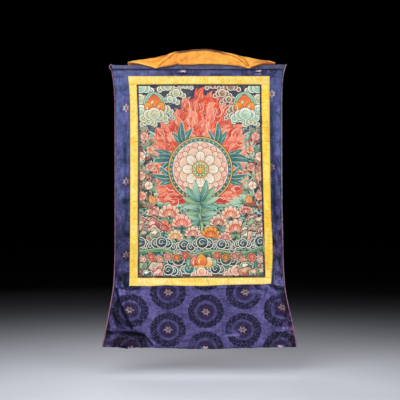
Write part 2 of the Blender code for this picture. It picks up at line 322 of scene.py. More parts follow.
def panel_places(edges, step):
    """A grid of x and z between four edges, rows from foot to top, and how far each point is from each
    edge."""
    left, right, foot, top, middle = edges
    middle_x = (left(middle) + right(middle)) / 2
    wide, tall = right(middle) - left(middle), top(middle_x) - foot(middle_x)
    u, v = np.meshgrid(spaced(wide, step[0]), spaced(tall, step[1]))
    x, z = between(edges, u, v)
    return x, z, {"left": x - left(z), "right": right(z) - x, "foot": z - foot(x), "top": top(x) - z}


def seam_relief(x, z, near, sewn):
    """How far back the sewn edges go: rolled over at the edge, and puckered beside it by the thread."""
    back = 0
    for name in sewn:
        along = z if name in ("left", "right") else x
        pull = np.sin(2 * np.pi * along / PUCKER_PITCH + 2.2 * crumple(along, 0 * along, 60, 11))
        back = back + SEAM_DIP * bell(near[name], SEAM_ROUND)
        back = back + PUCKER * (1 + pull) * np.exp(-near[name] / PUCKER_REACH)
    return back


def cut_size(x, z):
    """What a flat piece was cut to: its width and length, and its area, half the cross product of each
    cell's diagonals."""
    across, back = x[1:, 1:] - x[:-1, :-1], x[1:, :-1] - x[:-1, 1:]
    up, down = z[1:, 1:] - z[:-1, :-1], z[1:, :-1] - z[:-1, 1:]
    area = np.abs(across * down - back * up).sum() / 2
    return {"flat": (np.ptp(x) * MM, np.ptp(z) * MM), "area": area * MM * MM}


def dyed(red, green, blue):
    """A screen colour, 0 to 255, as the linear colour that a shader takes."""
    screen = np.array([red, green, blue]) / 255
    linear = np.where(screen <= 0.04045, screen / 12.92, ((screen + 0.055) / 1.055) ** 2.4)
    return (*(float(part) for part in linear), 1.0)


def tint_where(tint, mask, colour):
    """Multiplies a tint by a colour where a mask is 1, and by less of it where the mask is lower."""
    tint[..., :3] *= 1 + mask[..., None] * (np.array(colour) - 1)


def marked(x, z, marks, base=(1, 1, 1)):
    """A multiplier for the cloth's colour at each point, and how much of its figure is left. Each mark is
    a line from one point to another and half its width, the tint at its middle, and how strong it is, and
    it fades as a bell across the line. Marks are stains and rubs, and painted shade and painted highlight.
    A mark that brightens takes the figure away, as a rub does."""
    tint = np.ones((*x.shape, 4))
    tint[..., :3] = base
    for x0, z0, x1, z1, half_width, colour, strength in marks:
        near = fold_depth((x0, z0, x1, z1, strength, half_width), x, z)
        tint_where(tint, near, colour)
        if sum(colour) > 3:
            tint[..., 3] *= 1 - near
    return tint


def lay_cloth(mesh, cloth, corners):
    """Gives a mesh its UV map, which says where the point at each corner is on the cloth, in metres."""
    layer = mesh.uv_layers.new(name="cloth")
    layer.data.foreach_set("uv", (cloth[corners] * MM).astype(np.float32).ravel())


def add_wear_and_shading(mesh, tint):
    """Gives a mesh a tint attribute of wear with painted shade and light: a tint for its first points,
    and none for the rest.
    """
    wear = mesh.color_attributes.new("wear", "FLOAT_COLOR", "POINT")
    colours = np.ones((len(mesh.vertices), 4), np.float32)
    colours[: len(tint), : tint.shape[1]] = tint
    wear.data.foreach_set("color", colours.ravel())


def add_cloth(name, points, cloth, tint, finishes, thick):
    """A sheet from a grid of points, rows of z and columns of x, its thickness behind its front."""
    rows, columns = points.shape[:2]
    corner = (np.arange(rows - 1)[:, None] * columns + np.arange(columns - 1)).ravel()
    quads = np.stack([corner, corner + 1, corner + columns + 1, corner + columns], 1)
    mesh = bpy.data.meshes.new(name)
    mesh.from_pydata(points.reshape(-1, 3) * MM, [], quads)
    lay_cloth(mesh, cloth.reshape(-1, 2), quads.ravel())
    add_wear_and_shading(mesh, tint.reshape(-1, 4))
    return add_piece(name, mesh, finishes, thick)


def add_piece(name, mesh, finishes, thick=None):
    """Puts a mesh into the scene, smooth, with its materials and a thickness behind its faces."""
    piece = bpy.data.objects.new(name, mesh)
    bpy.context.scene.collection.objects.link(piece)
    for finish in finishes:
        mesh.materials.append(finish)
    mesh.shade_smooth()
    mesh.validate()
    if thick:
        solidify = piece.modifiers.new("Thickness", "SOLIDIFY")
        solidify.thickness = thick * MM
        solidify.offset = -1
        solidify.material_offset = len(finishes) - 1
        solidify.material_offset_rim = 0
    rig.ride(piece, "root")
    return piece


class Shade:
    """A shader socket. Arithmetic on it adds Math nodes, and node adds a node of any other type."""

    def __init__(self, socket):
        self.socket = socket

    def node(self, kind, settings=None, inputs=None, output=0):
        """Adds a node, makes its settings, then gives its sockets values or links."""
        tree = self.socket.id_data
        made = tree.nodes.new("ShaderNode" + kind)
        for name, value in (settings or {}).items():
            setattr(made, name, value)
        for name, value in (inputs or {}).items():
            if isinstance(value, Shade):
                tree.links.new(value.socket, made.inputs[name])
            else:
                made.inputs[name].default_value = value
        return Shade(made.outputs[output])

    def maths(self, operation, *values, clamp=False):
        settings = {"operation": operation, "use_clamp": clamp}
        return self.node("Math", settings, dict(enumerate(values)))

    def __add__(self, other):
        return self.maths("ADD", self, other)

    def __sub__(self, other):
        return self.maths("SUBTRACT", self, other)

    def __rsub__(self, other):
        return self.maths("SUBTRACT", other, self)

    def __mul__(self, other):
        return self.maths("MULTIPLY", self, other)

    def __lt__(self, other):
        return self.maths("LESS_THAN", self, other)

    def __abs__(self):
        return self.maths("ABSOLUTE", self)

    __radd__, __rmul__ = __add__, __mul__

    def at_most(self, most):
        return self.maths("MINIMUM", self, most)

    def over(self, edge, soft):
        """1 where this is over an edge and 0 below it, with a soft step between."""
        return self.maths("MULTIPLY_ADD", self, 1 / soft, 0.5 - edge / soft, clamp=True)

    def under(self, edge, soft):
        return self.maths("MULTIPLY_ADD", self, -1 / soft, 0.5 + edge / soft, clamp=True)

    def sine(self):
        return self.maths("SINE", self)

    def cosine(self):
        return self.maths("COSINE", self)

    def wrapped(self, half):
        """This, brought back by whole repeats to between minus half a repeat and plus half."""
        return self.maths("WRAP", self, half, -half)

    def rooted(self):
        return self.maths("SQRT", self)

    def radius(self, other):
        return (self * self + other * other).rooted()

    def between(self, none, full):
        """The colour none where this mask is 0, and full where it is 1."""
        return self.node("Mix", {"data_type": "RGBA"}, {0: self, 6: none, 7: full}, 2)

    def times(self, other):
        """This colour multiplied by another."""
        settings = {"data_type": "RGBA", "blend_type": "MULTIPLY"}
        return self.node("Mix", settings, {0: 1.0, 6: self, 7: other}, 2)

    def stretched(self, along, up, deep=1):
        """These coordinates scaled along each axis."""
        return self.node("VectorMath", {"operation": "MULTIPLY"}, {0: self, 1: (along, deep, up)})

    def noise(self, scale, detail=2.0, rough=0.5):
        inputs = {"Vector": self, "Scale": scale, "Detail": detail, "Roughness": rough}
        return self.node("TexNoise", {}, inputs)

    def attribute(self, name, output=0):
        return self.node("Attribute", {"attribute_name": name}, output=output)

    def cloth(self):
        """The coordinates of the UV map."""
        return self.node("UVMap", {"uv_map": "cloth"})

    def split(self, *axes):
        """Some of these three coordinates, each as a number."""
        return [self.node("SeparateXYZ", {}, {0: self}, axis) for axis in axes]

    def streaks(self, along, up, detail=2.0, rough=0.5):
        """Noise on cloth coordinates that are stretched by a factor along and a factor up."""
        across, rise = self.split(0, 1)
        return self.node("CombineXYZ", {}, {0: across * along, 1: rise * up}).noise(1.0, detail, rough)

    def threads(self, pitch):
        """A sine of this coordinate that repeats every pitch of millimetres."""
        return (self * (2 * np.pi / (pitch * MM))).sine()

    def ribs(self, pitch):
        """The same sine, lifted to run between 0 and 1."""
        return self.threads(pitch) * 0.5 + 0.5


def new_finish(name, **fixed):
    """A material with the given numbers set on its shader. Returns it, a function that links shades into
    the shader, and the Object coordinates."""
    material = bpy.data.materials.new(name)
    material.use_nodes = True
    tree = material.node_tree
    shader = tree.nodes["Principled BSDF"]
    for socket, value in fixed.items():
        shader.inputs[socket.replace("_", " ")].default_value = value

    def link(**shades):
        for socket, shade in shades.items():
            tree.links.new(shade.socket, shader.inputs[socket.replace("_", " ")])

    return material, link, Shade(tree.nodes.new("ShaderNodeTexCoord").outputs["Object"])


def raised(height, deep, strength=1.0):
    """The normal of a surface whose height, 0 to 1, stands for so many millimetres."""
    return height.node("Bump", {}, {"Strength": strength, "Distance": deep * MM, "Height": height})


# The woven repeat: two roundels in a half-drop. Each is a dark ring set with pale and dark pearls, a
# plain band between two pale lines, a disc, and a small metallic star between two petals. The star is
# wider than it is tall.
REPEAT_ALONG, REPEAT_UP = 286.6, 141.5
ROUNDEL, ROUNDEL_SQUAT = 68.0, 1.06
BAND, DISC, HALO = 41.0, 34.0, 21.0
SCALLOPS, PEARLS, PEARL_STEP = 22, 27, 13.0
STAR, STAR_DEEP, STAR_SQUAT, PETAL_OUT = 11.8, 3.8, 0.9, 17.5


def roundels(cloth):
    """The masks of the woven figure, worked out from the cloth's own coordinates: the nearer of two
    lattices of centres gives a radius and an angle, and each part of the figure is a band of radius that
    waves with the angle. The pearls are a sine of the angle times a sine of the radius, broken up by
    noise."""
    split = [place * 1000 for place in cloth.split(0, 1)]
    drift = (cloth.noise(70, 2) - 0.5) * 5.0
    centres = []
    for shift in (0, 0.5):
        along = (split[0] - shift * REPEAT_ALONG + drift).wrapped(REPEAT_ALONG / 2)
        up = (split[1] - shift * REPEAT_UP + drift).wrapped(REPEAT_UP / 2) * ROUNDEL_SQUAT
        centres.append((along, up, along.radius(up)))
    (along_a, up_a, out_a), (along_b, up_b, out_b) = centres
    first = out_a < out_b
    along = along_b + (along_a - along_b) * first
    up = up_b + (up_a - up_b) * first
    out = out_a.maths("MINIMUM", out_a, out_b)
    angle = out.maths("ARCTAN2", up, along)

    grit = cloth.noise(230, 2, 0.6)
    speck = cloth.noise(110, 2, 0.7)
    patchy = cloth.noise(45, 2, 0.6)
    edge = out + (speck - 0.5) * 9.0 + (angle * SCALLOPS).cosine() * 1.0
    ring = edge.under(ROUNDEL, 2.4) * (out + (speck - 0.5) * 6.0).over(BAND, 2.2)
    pearls = (angle * PEARLS).cosine() * ((out - BAND) * (2 * np.pi / PEARL_STEP)).cosine()
    beat = pearls * 0.6 + (speck - 0.5) * 2.6 + (patchy - 0.5) * 0.8
    inside = out.over(BAND + 2, 3) * out.under(ROUNDEL - 3, 3)
    lines = abs(out - BAND + 0.5).under(1.7, 1.6) * 0.75 + abs(out - DISC + 0.8).under(1.2, 1.6) * 0.5
    star_edge = along.radius(up * (1 / STAR_SQUAT)) - (angle * 6).cosine() * STAR_DEEP
    star_edge = star_edge - (angle * 2 + 1).cosine() * 1.2
    return {
        "ring": ring,
        "pale pearls": beat.over(0.42, 0.3) * inside,
        "dark pearls": beat.under(-0.22, 0.3) * inside,
        "lines": lines * (patchy * 0.5 + speck * 0.5).over(0.45, 0.2),
        "disc": (out.under(DISC, 2.2) + out.under(BAND, 2.2)) * 0.5,
        "heart": out.under(HALO, 7),
        "petals": along.radius((abs(up) - PETAL_OUT) * 1.5).under(7, 4),
        "star": (star_edge + (grit - 0.5) * 4).under(STAR, 2.4),
        "star bands": ((star_edge - 4.0) * 0.85).cosine(),
        "star heart": (along * 0.5).radius(up * 1.1).under(3.4, 2.6),
        "star side": up.over(0, 8),
        "speck": speck,
    }


def brocade_finish(name, ground, ring, disc, dark_pearl, pale_pearl, star, reverse=False):
    """Satin with a matt woven figure. Ground, ring and disc are pairs of a deep and a pale tone, which
    its streaks and blotches mix, and star is the tones of its two sides. The ground's threads run along
    the cloth. The colour is multiplied by the piece's tint attribute of wear and painted shade and light,
    whose last channel is how much of the figure shows."""
    material, link, place = new_finish(
        name, Sheen_Weight=0.03, Sheen_Roughness=0.45, Specular_IOR_Level=0.1
    )
    cloth, wear, shown = place.cloth(), place.attribute("wear"), place.attribute("wear", 3)
    woven = roundels(cloth)
    figure = (woven["ring"] + woven["disc"]).at_most(1)

    threads = cloth.streaks(22, 330, 3, 0.7)
    clouds = place.noise(14, 3, 0.65)
    mottle = place.noise(90, 3, 0.7)
    blotch = mottle * 0.5 + woven["speck"] * 0.5
    colour = (threads * 0.9 + clouds * 0.7 + mottle * 0.6).over(1.1, 0.36).between(*ground)
    colour = (woven["ring"] * shown).between(colour, blotch.over(0.5, 0.24).between(*ring))
    colour = (woven["dark pearls"] * shown * 0.7).between(colour, dark_pearl)
    colour = (woven["pale pearls"] * shown * 0.6).between(colour, pale_pearl)
    disc_tone = (blotch * 0.7 + threads * 0.3).over(0.5, 0.24).between(*disc)
    colour = (woven["disc"] * shown).between(colour, disc_tone)
    colour = (woven["lines"] * shown * 0.8).between(colour, pale_pearl)
    heart = mottle.over(0.5, 0.3).between(dyed(36, 26, 46), dyed(66, 46, 70))
    colour = (woven["heart"] * (shown * 0.6 + 0.2)).between(colour, heart)
    colour = (woven["petals"] * (shown * 0.4 + 0.1)).between(colour, dyed(80, 48, 66))
    gilt = woven["star side"].between(*star)
    gilt = (woven["star bands"] * 0.45 + mottle).over(0.5, 1.1).between(dyed(96, 74, 92), gilt)
    colour = woven["star"].between(colour, gilt)
    colour = (woven["star heart"] * 0.9).between(colour, dyed(84, 58, 66))
    if reverse:
        colour = figure.between(dyed(58, 54, 84), dyed(104, 99, 138))
        colour = threads.over(0.5, 0.8).between(colour, dyed(84, 80, 116))
    colour = colour.times(wear)

    along, up = cloth.split(0, 1)
    weave = up.ribs(0.55) * (0.75 - figure * 0.2) + along.ribs(0.7) * figure * 0.45
    height = weave * 0.25 + figure * 0.3 + woven["pale pearls"] * 0.3 + woven["star"] * 0.5
    height = height + threads * 0.35 + mottle * 0.25
    rough = figure * 0.16 + 0.46 + threads * 0.12 - woven["star"] * 0.1
    link(Base_Color=colour, Roughness=rough, Normal=raised(height, 0.16, 0.8))
    return material


PINK_STAR = (dyed(184, 164, 178), dyed(174, 152, 162))
TWO_TONE_STAR = (dyed(186, 190, 214), dyed(170, 136, 112))
SKIRT_BROCADE = brocade_finish(
    "satin brocade", (dyed(55, 52, 96), dyed(107, 101, 159)), (dyed(24, 22, 44), dyed(52, 48, 84)),
    (dyed(34, 29, 59), dyed(59, 52, 97)), dyed(14, 13, 32), dyed(98, 96, 142), PINK_STAR,
)
# Painted sheen: the side panels' satin is turned across the light, so their tones reverse the skirt's, the ground
# darker and the figure paler.
TURNED_BROCADE = brocade_finish(
    "turned brocade", (dyed(37, 46, 75), dyed(76, 84, 128)), (dyed(66, 65, 112), dyed(98, 96, 152)),
    (dyed(56, 58, 102), dyed(88, 86, 142)), dyed(36, 38, 76), dyed(116, 114, 170), TWO_TONE_STAR,
)
HEADING_BROCADE = brocade_finish(
    "heading brocade", (dyed(66, 71, 114), dyed(101, 106, 152)), (dyed(46, 46, 82), dyed(66, 64, 106)),
    (dyed(52, 50, 86), dyed(74, 72, 116)), dyed(34, 32, 60), dyed(104, 104, 158), PINK_STAR,
)
BACK_OF_BROCADE = brocade_finish(
    "back of the brocade", (dyed(70, 66, 104), dyed(88, 82, 130)), (dyed(50, 47, 80), dyed(60, 56, 90)),
    (dyed(54, 50, 84), dyed(64, 60, 94)), dyed(44, 40, 70), dyed(70, 66, 104), PINK_STAR, reverse=True,
)

# PAINTED_SHADE is painted shade beside and under the yellow strips and in a crease; SCUFF is a pale rub.
PAINTED_SHADE, SCUFF = (0.42, 0.42, 0.5), (1.7, 1.7, 1.6)
TURNED_REPEAT, TURNED_DROP = 279.3, 0.9
RUMPLE_DEEP, RUMPLE_MOST, SEAM_SHADE, SEAM_SHADE_REACH = 1.4, 1.8, 0.35, 2.2

# Where the woven repeat starts on each panel, which way the cloth is turned, its seams, and its marks,
# which are stains and rubs, and painted shade and painted highlight beside the strips, under the heading
# and along folds. Light is painted light: how its colour is brightened or darkened with height. Shown is
# how plain its figure is there, and rumpled how much painted shade and highlight small folds give it, by
# height on the panels that hang long and by the place across on the others. A pull is a place, its half
# size, and how far the pattern has been dragged aside and up there.
BROCADE_PANELS = {
    "brocade_top": {
        "start": (-57, -18), "turned": 0, "uneven": 5, "step": (3.2, 3.0),
        "sewn": ("left", "right", "top"), "finish": HEADING_BROCADE, "pulls": (),
        "light": ((0, 0.92), (-60, 0.92)), "shown": ((0, 0.8), (-60, 0.8)),
        "rumpled": ((-340, 0.12), (0, 0.15), (340, 0.3)),
        "marks": (
            # Painted shadow under the heading roll.
            (-336, -19.5, 336, -19.5, 3, (0.26, 0.25, 0.4), 1),
            (-330, -32, -190, -32, 18, (1.12, 1.18, 1.22), 1),
            (-180, -32, -120, -32, 14, (1.05, 1.0, 1.05), 1),
            (20, -30, 120, -32, 5, (1.15, 1.1, 1.15), 0.8),
            (-100, -34, -20, -35, 5, (0.5, 0.45, 0.52), 0.9),
            (120, -34, 330, -34, 12, (0.74, 0.76, 0.84), 0.8),
            # Pale bars across two stars are painted highlight on their metal thread.
            (-71, -26, -48, -25.5, 3.8, (3.3, 3.5, 3.0), 1),
            (-66, -32, -44, -32, 2.4, (0.6, 0.5, 0.5), 0.7),
            (216, -24.5, 240, -24.5, 3, (3.2, 3.1, 2.7), 1),
            (220, -30, 240, -30, 2.2, (0.4, 0.36, 0.36), 0.9),
            (218, -36, 240, -36, 3, (3.2, 3.1, 2.5), 1),
        ),
    },
    "brocade_left": {
        "start": (-273.6, -165.3), "turned": -1, "uneven": 18, "step": (2.8, 3.2),
        "sewn": ("left", "right", "foot"), "finish": TURNED_BROCADE, "pulls": (),
        "light": (
            (-860, 0.62), (-800, 0.62), (-640, 0.6), (-560, 0.92), (-420, 1.34), (-200, 1.68), (-50, 1.8),
        ),
        "shown": ((-860, 1), (-560, 1), (-400, 0.7), (-250, 0.3), (-50, 0.2)),
        "rumpled": ((-860, 0.55), (-740, 0.3), (-560, 0.26), (-400, 0.2), (-200, 0.1), (-50, 0.07)),
        "marks": (
            # Painted shade beside the strip.
            (-261, -60, -259, -820, 4, PAINTED_SHADE, 0.6),
            (-302, -60, -298, -560, 10, (1.12, 1.2, 1.12), 0.5),
            (-278, -230, -272, -560, 7, (0.6, 0.62, 0.72), 0.9),
            (-316, -560, -312, -800, 8, (0.6, 0.56, 0.66), 0.8),
            (-280, -322, -277, -372, 5, (0.4, 0.42, 0.55), 0.9),
            (-284, -522, -262, -512, 12, (0.42, 0.46, 0.54), 0.9),
            (-278, -640, -262, -650, 13, (0.42, 0.46, 0.54), 0.9),
            (-320, -575, -318, -590, 11, (0.5, 0.5, 0.58), 0.8),
            (-300, -690, -270, -700, 10, (0.6, 0.6, 0.7), 0.7),
            (-300, -800, -262, -850, 20, (0.66, 0.58, 0.68), 0.9),
            (-300, -426, -272, -434, 12, (1.2, 1.2, 1.15), 0.5),
            (-300, -486, -262, -496, 8, (1.35, 1.35, 1.25), 0.7),
            (-305, -466, -292, -500, 7, (1.35, 1.35, 1.25), 0.8),
        ),
    },
    "brocade_right": {
        "start": (281, -112), "turned": 1, "uneven": 18, "step": (2.8, 3.2),
        "sewn": ("left", "right", "foot"), "finish": TURNED_BROCADE,
        "pulls": ((283, -668, 40, 60, -11, 0),),
        "light": (
            (-860, 1.04), (-760, 0.92), (-640, 0.78), (-520, 0.78), (-420, 1.1), (-200, 1.54), (-50, 1.4),
        ),
        "shown": ((-860, 1), (-560, 0.9), (-400, 0.6), (-250, 0.3), (-50, 0.2)),
        "rumpled": ((-860, 0.55), (-560, 0.34), (-400, 0.28), (-200, 0.16), (-50, 0.1)),
        "marks": (
            # Painted shadow beside the strip; the pale and dark streaks below it, down to the scuffs, are painted
            # highlight and painted shade along the folds.
            (276, -150, 284, -420, 9, (0.3, 0.32, 0.42), 0.95),
            (286, -430, 292, -560, 9, (0.4, 0.4, 0.52), 0.85),
            (306, -165, 302, -300, 6, (1.6, 1.65, 1.5), 0.9),
            (303, -300, 316, -356, 6, (1.6, 1.65, 1.5), 0.8),
            (312, -380, 296, -470, 5, (1.7, 1.75, 1.6), 0.7),
            (296, -350, 318, -392, 5, (0.36, 0.36, 0.5), 0.9),
            (304, -410, 318, -470, 5, (0.4, 0.4, 0.55), 0.8),
            (306, -500, 312, -560, 6, (0.5, 0.5, 0.62), 0.7),
            (290, -620, 296, -700, 4, SCUFF, 0.7),
            (300, -760, 292, -790, 4, SCUFF, 0.6),
            (311, -490, 314, -620, 4, (1.5, 1.4, 1.4), 0.8),
            (288, -470, 296, -640, 6, (0.5, 0.5, 0.62), 0.8),
            (306, -640, 316, -800, 9, (0.66, 0.5, 0.56), 0.9),
            (284, -660, 292, -720, 8, (0.7, 0.56, 0.56), 0.8),
            (292, -820, 316, -850, 7, SCUFF, 0.5),
            (316, -740, 322, -780, 5, (1.5, 1.3, 1.2), 0.5),
            (296, -640, 300, -850, 60, (1.04, 0.96, 0.84), 1),
        ),
    },
    "brocade_skirt": {
        "start": (-257, -937), "turned": 0, "uneven": 28, "step": (3.0, 3.0),
        "sewn": ("left", "right", "top"), "finish": SKIRT_BROCADE,
        "light": ((-1075, 0.8), (-1040, 0.92), (-900, 1.0)), "shown": ((-1075, 1), (-850, 1)),
        "rumpled": (
            (-360, 0.38), (-270, 0.32), (-225, 0.2), (-180, 0.12), (220, 0.12), (280, 0.26), (340, 0.5),
        ),
        "pulls": (
            (319, -925, 50, 60, 5, 15), (180, -866, 50, 50, 7, 1), (168, -1009, 50, 50, -4, 0),
            (-259, -933, 40, 40, -3, 4), (30, -940, 50, 50, 0, -4),
        ),
        "marks": (
            (-350, -1056, -214, -1056, 26, (0.58, 0.45, 0.44), 1),
            (-326, -880, -296, -1000, 19, (0.6, 0.53, 0.56), 1),
            (-334, -900, -350, -1040, 14, (0.56, 0.38, 0.4), 0.9),
            (-320, -854, -322, -900, 12, (0.58, 0.54, 0.62), 0.8),
            (322, -860, 334, -945, 14, (0.5, 0.38, 0.42), 1),
            (-352, -1040, -340, -1070, 9, (1.5, 1.25, 1.4), 0.7),
            (-300, -1012, -264, -1012, 4, (1.5, 1.4, 1.3), 0.7),
            (334, -860, 360, -980, 13, (0.62, 0.4, 0.4), 1),
            (352, -1000, 364, -1070, 20, (0.7, 0.46, 0.42), 0.9),
            (280, -1010, 300, -1060, 20, (0.8, 0.7, 0.7), 0.8),
            (336, -992, 366, -1008, 12, (1.75, 1.4, 1.35), 0.9),
            (256, -1076, 366, -1077, 5, (0.5, 0.4, 0.42), 0.8),
            (104, -1030, 156, -1028, 5, (1.9, 1.9, 1.7), 1),
            (118, -1006, 146, -1018, 9, (1.4, 1.4, 1.35), 0.6),
            (206, -862, 250, -866, 13, (1.2, 1.26, 1.2), 0.85),
            (214, -850, 246, -872, 3, SCUFF, 0.7),
            (-300, -862, -250, -866, 9, (1.2, 1.2, 1.15), 0.8),
            # Painted shade in the crease under the right strip.
            (259, -850, 253, -886, 4, PAINTED_SHADE, 0.5),
            (276, -856, 300, -872, 7, (1.25, 1.3, 1.3), 0.8),
            # Painted shadow under the foot strip.
            (-340, -853, 352, -853, 4, PAINTED_SHADE, 0.8),
            (-120, -1075, 330, -1077, 5, (0.6, 0.55, 0.6), 0.8),
            (-200, -960, 220, -968, 16, (1.0, 0.98, 0.98), 0.6),
            (-60, -1050, -20, -1062, 16, (1.1, 0.92, 1.0), 0.7),
            (306, -1070, 326, -1072, 6, (2.6, 3.0, 2.8), 1),
            (-266, -1070, -250, -1071, 4.5, (3.6, 4.2, 4.2), 1),
            (12, -1073, 32, -1073, 4.5, (2.8, 3.2, 2.8), 1),
        ),
    },
}

# The skirt's sharp creases: points along each, half its width, how far back it goes and its tint, painted
# shade in the dark creases and painted highlight on the raised lips beside them.
CREASE_SHADE, CREASE_HIGHLIGHT = (0.09, 0.085, 0.17), (1.5, 1.5, 1.35)
SHARP_CREASES = (
    (((-312, -852), (-301, -900), (-281, -948), (-264, -984), (-250, -1006)), 4.6, 5.0, CREASE_SHADE),
    (((-300, -851), (-289, -896), (-269, -944), (-250, -982)), 3.6, -1.4, CREASE_HIGHLIGHT),
    (((-334, -1020), (-290, -1023), (-262, -1026)), 4.4, 3.0, (0.36, 0.31, 0.38)),
    (((-262, -1026), (-223, -1029), (-204, -1033)), 4.6, 4.4, CREASE_SHADE),
    (((-282, -1019), (-240, -1020), (-208, -1028)), 6.0, 2.0, (0.12, 0.11, 0.2)),
    (((-204, -1033), (-190, -1047), (-174, -1066)), 3.8, 4.0, CREASE_SHADE),
    (((-196, -1026), (-184, -1042), (-168, -1060)), 3.0, -1.4, (1.9, 1.9, 1.8)),
    (((-254, -1000), (-240, -1008), (-226, -1014)), 3.2, -0.8, CREASE_HIGHLIGHT),
    (((-356, -1016), (-326, -1022)), 4.6, 1.6, (0.25, 0.2, 0.26)),
    (((-322, -950), (-306, -1000), (-276, -1004)), 3.8, 1.4, (0.3, 0.28, 0.36)),
    (((-330, -930), (-312, -956), (-300, -990)), 3.2, 1.0, (0.4, 0.36, 0.44)),
    (((-328, -1050), (-280, -1042), (-236, -1052)), 4.0, 1.2, (0.5, 0.42, 0.46)),
    (((-300, -1070), (-256, -1074)), 3.6, 1.2, (0.2, 0.18, 0.22)),
    (((262, -850), (256, -868), (251, -888)), 3.4, 1.6, (0.66, 0.66, 0.74)),
)
HEM_HANGS, HEM_REACH, HEM_DEEP = 1.2, 40, 11
CREASE_DARKENS = 1.5


def hem_drop(x):
    """How far the hem hangs below its straight line: a long sag in the middle, a lip turned out at the
    left, and a small unevenness."""
    sag = 4.0 * bell(x - 40, 130)
    lip = 4.6 * bell(x + 272, 20, 4)
    return HEM_HANGS + sag + lip + 0.5 * crumple(x, 0 * x, 34, 90)


for name, cut in BROCADE_PANELS.items():
    edges = outline(name, cut["uneven"])
    if cut["turned"]:
        left, right, foot, top, middle = edges
        edges = (left, right, lambda x, foot=foot: foot(x) - TURNED_DROP, top, middle)
    x, z, near = panel_places(edges, cut["step"])
    share = np.interp(z if cut["turned"] else x, *np.array(cut["rumpled"]).T)
    across, down = (1.7 * x, 0.6 * z) if cut["turned"] else (x, z)
    rumple = 0.65 * crumple(across, down, 27, 91) + 0.5 * crumple(across, down, 12, 92)
    rumple = share * np.clip(rumple, -RUMPLE_MOST, RUMPLE_MOST)
    y = hang(x, z) + seam_relief(x, z, near, cut["sewn"]) - RUMPLE_DEEP * rumple
    pulled, lifted = 0, 0
    for at_x, at_z, wide, tall, aside, rise in cut["pulls"]:
        drag = np.exp(-(((x - at_x) / wide) ** 2 + ((z - at_z) / tall) ** 2))
        pulled, lifted = pulled + drag * aside, lifted + drag * rise
    along, up = x - cut["start"][0] - pulled, z - cut["start"][1] - lifted
    if cut["turned"]:
        along, up = cut["turned"] * up * REPEAT_ALONG / TURNED_REPEAT, -cut["turned"] * along
    # The panel's tint: its marks, with painted shade and highlight of small folds, creases and seams, and painted
    # light by height.
    brocade_stains_and_shading = marked(x, z, cut["marks"])
    # Painted shade and painted highlight of the small folds.
    brocade_stains_and_shading[..., :3] *= 1 + rumple[..., None]
    if name == "brocade_skirt":
        hem = near["foot"]
        z = z - hem_drop(x) * np.clip(1 - hem / HEM_REACH, 0, 1)
        y = y + 0.5 * bell(hem, 1.2) + 0.45 * bell(hem - HEM_DEEP, 1.3)
        for points, half_width, back, tint in SHARP_CREASES:
            line = line_share(points, half_width, x, z)
            y = y + back * line
            # Painted shade in each dark crease and painted highlight on each raised lip.
            tint_where(brocade_stains_and_shading, np.minimum(CREASE_DARKENS * line, 1), tint)
    # Painted shade along the sewn edges, where the seams dip back.
    seam = sum(bell(near[side], SEAM_SHADE_REACH) for side in cut["sewn"])
    brocade_stains_and_shading[..., :3] *= 1 - SEAM_SHADE * np.clip(seam, 0, 1)[..., None]
    # Painted light: brighter or darker with height, by the panel's light table.
    brocade_stains_and_shading[..., :3] *= np.interp(z, *np.array(sorted(cut["light"])).T)[..., None]
    brocade_stains_and_shading[..., 3] *= np.interp(z, *np.array(sorted(cut["shown"])).T)
    piece = add_cloth(
        name + "_cloth", np.stack([x, y, z], -1), np.stack([along, up], -1), brocade_stains_and_shading,
        [cut["finish"], BACK_OF_BROCADE], BROCADE_THICK,
    )
    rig.replaces(piece, name)
    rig.slot(piece, "indigo_brocade")
    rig.sheet(piece, **cut_size(x, z), held="hung", rests_on=["heading"])

# ---- The painting --------------------------------------------------------------------------------
# The heart of the scroll is a cotton canvas, primed with chalk and glue and painted in ground minerals
# and a little gold: a great lotus in a ring of flames over a lake. Every patch of colour is an outline,
# laid over those before it, and all are cut into one mesh, so that edges stay as crisp as a brush line.

CANVAS_THICK, CANVAS_UNEVEN, CANVAS_CELL = 1.5, 12, 24
CANVAS_WIDE, CANVAS_TALL = 498, 755
PICTURE_WIDE, PICTURE_TALL = 474, 731
RIM_SINK, RIM_REACH = 1.4, 17
CLOSE, ON_RIM, AT_CORNER = 1e-4, 1e-3, 1e-6

INK, NAVY, NIGHT, DEEP_TEAL = dyed(34, 30, 38), dyed(40, 46, 86), dyed(22, 52, 66), dyed(20, 92, 104)
TEAL, SEA, MIST, PINE = dyed(44, 138, 132), dyed(126, 196, 166), dyed(192, 222, 192), dyed(34, 54, 46)
LEAF, SAGE, CHALK, CREAM = dyed(84, 146, 96), dyed(164, 192, 152), dyed(248, 244, 226), dyed(246, 222, 190)
BONE, AMBER, GOLD, BROWN = dyed(222, 194, 160), dyed(248, 174, 54), dyed(224, 182, 96), dyed(130, 72, 48)
VERMILION, FLAME, SALMON = dyed(230, 74, 52), dyed(246, 108, 78), dyed(248, 152, 124)
BLUSH, ROSE, CRIMSON, WINE = dyed(250, 204, 186), dyed(222, 108, 112), dyed(196, 40, 52), dyed(112, 30, 40)

painted = []


def lay(points, near, far=None, ends=((0, 0), (0, 1))):
    """Lays a patch of colour over what is painted so far, shaded from near to far between its two ends.
    What is laid in GOLD is partly leaf. The patch's outline is turned to run anticlockwise."""
    points = np.asarray(points, float)
    x, y = points.T
    clockwise = (x * np.roll(y, -1) - y * np.roll(x, -1)).sum() < 0
    leaf_gold = 0.5 if near is GOLD else 0
    points = points[::-1] if clockwise else points
    painted.append((points, near, far or near, np.asarray(ends, float), leaf_gold))


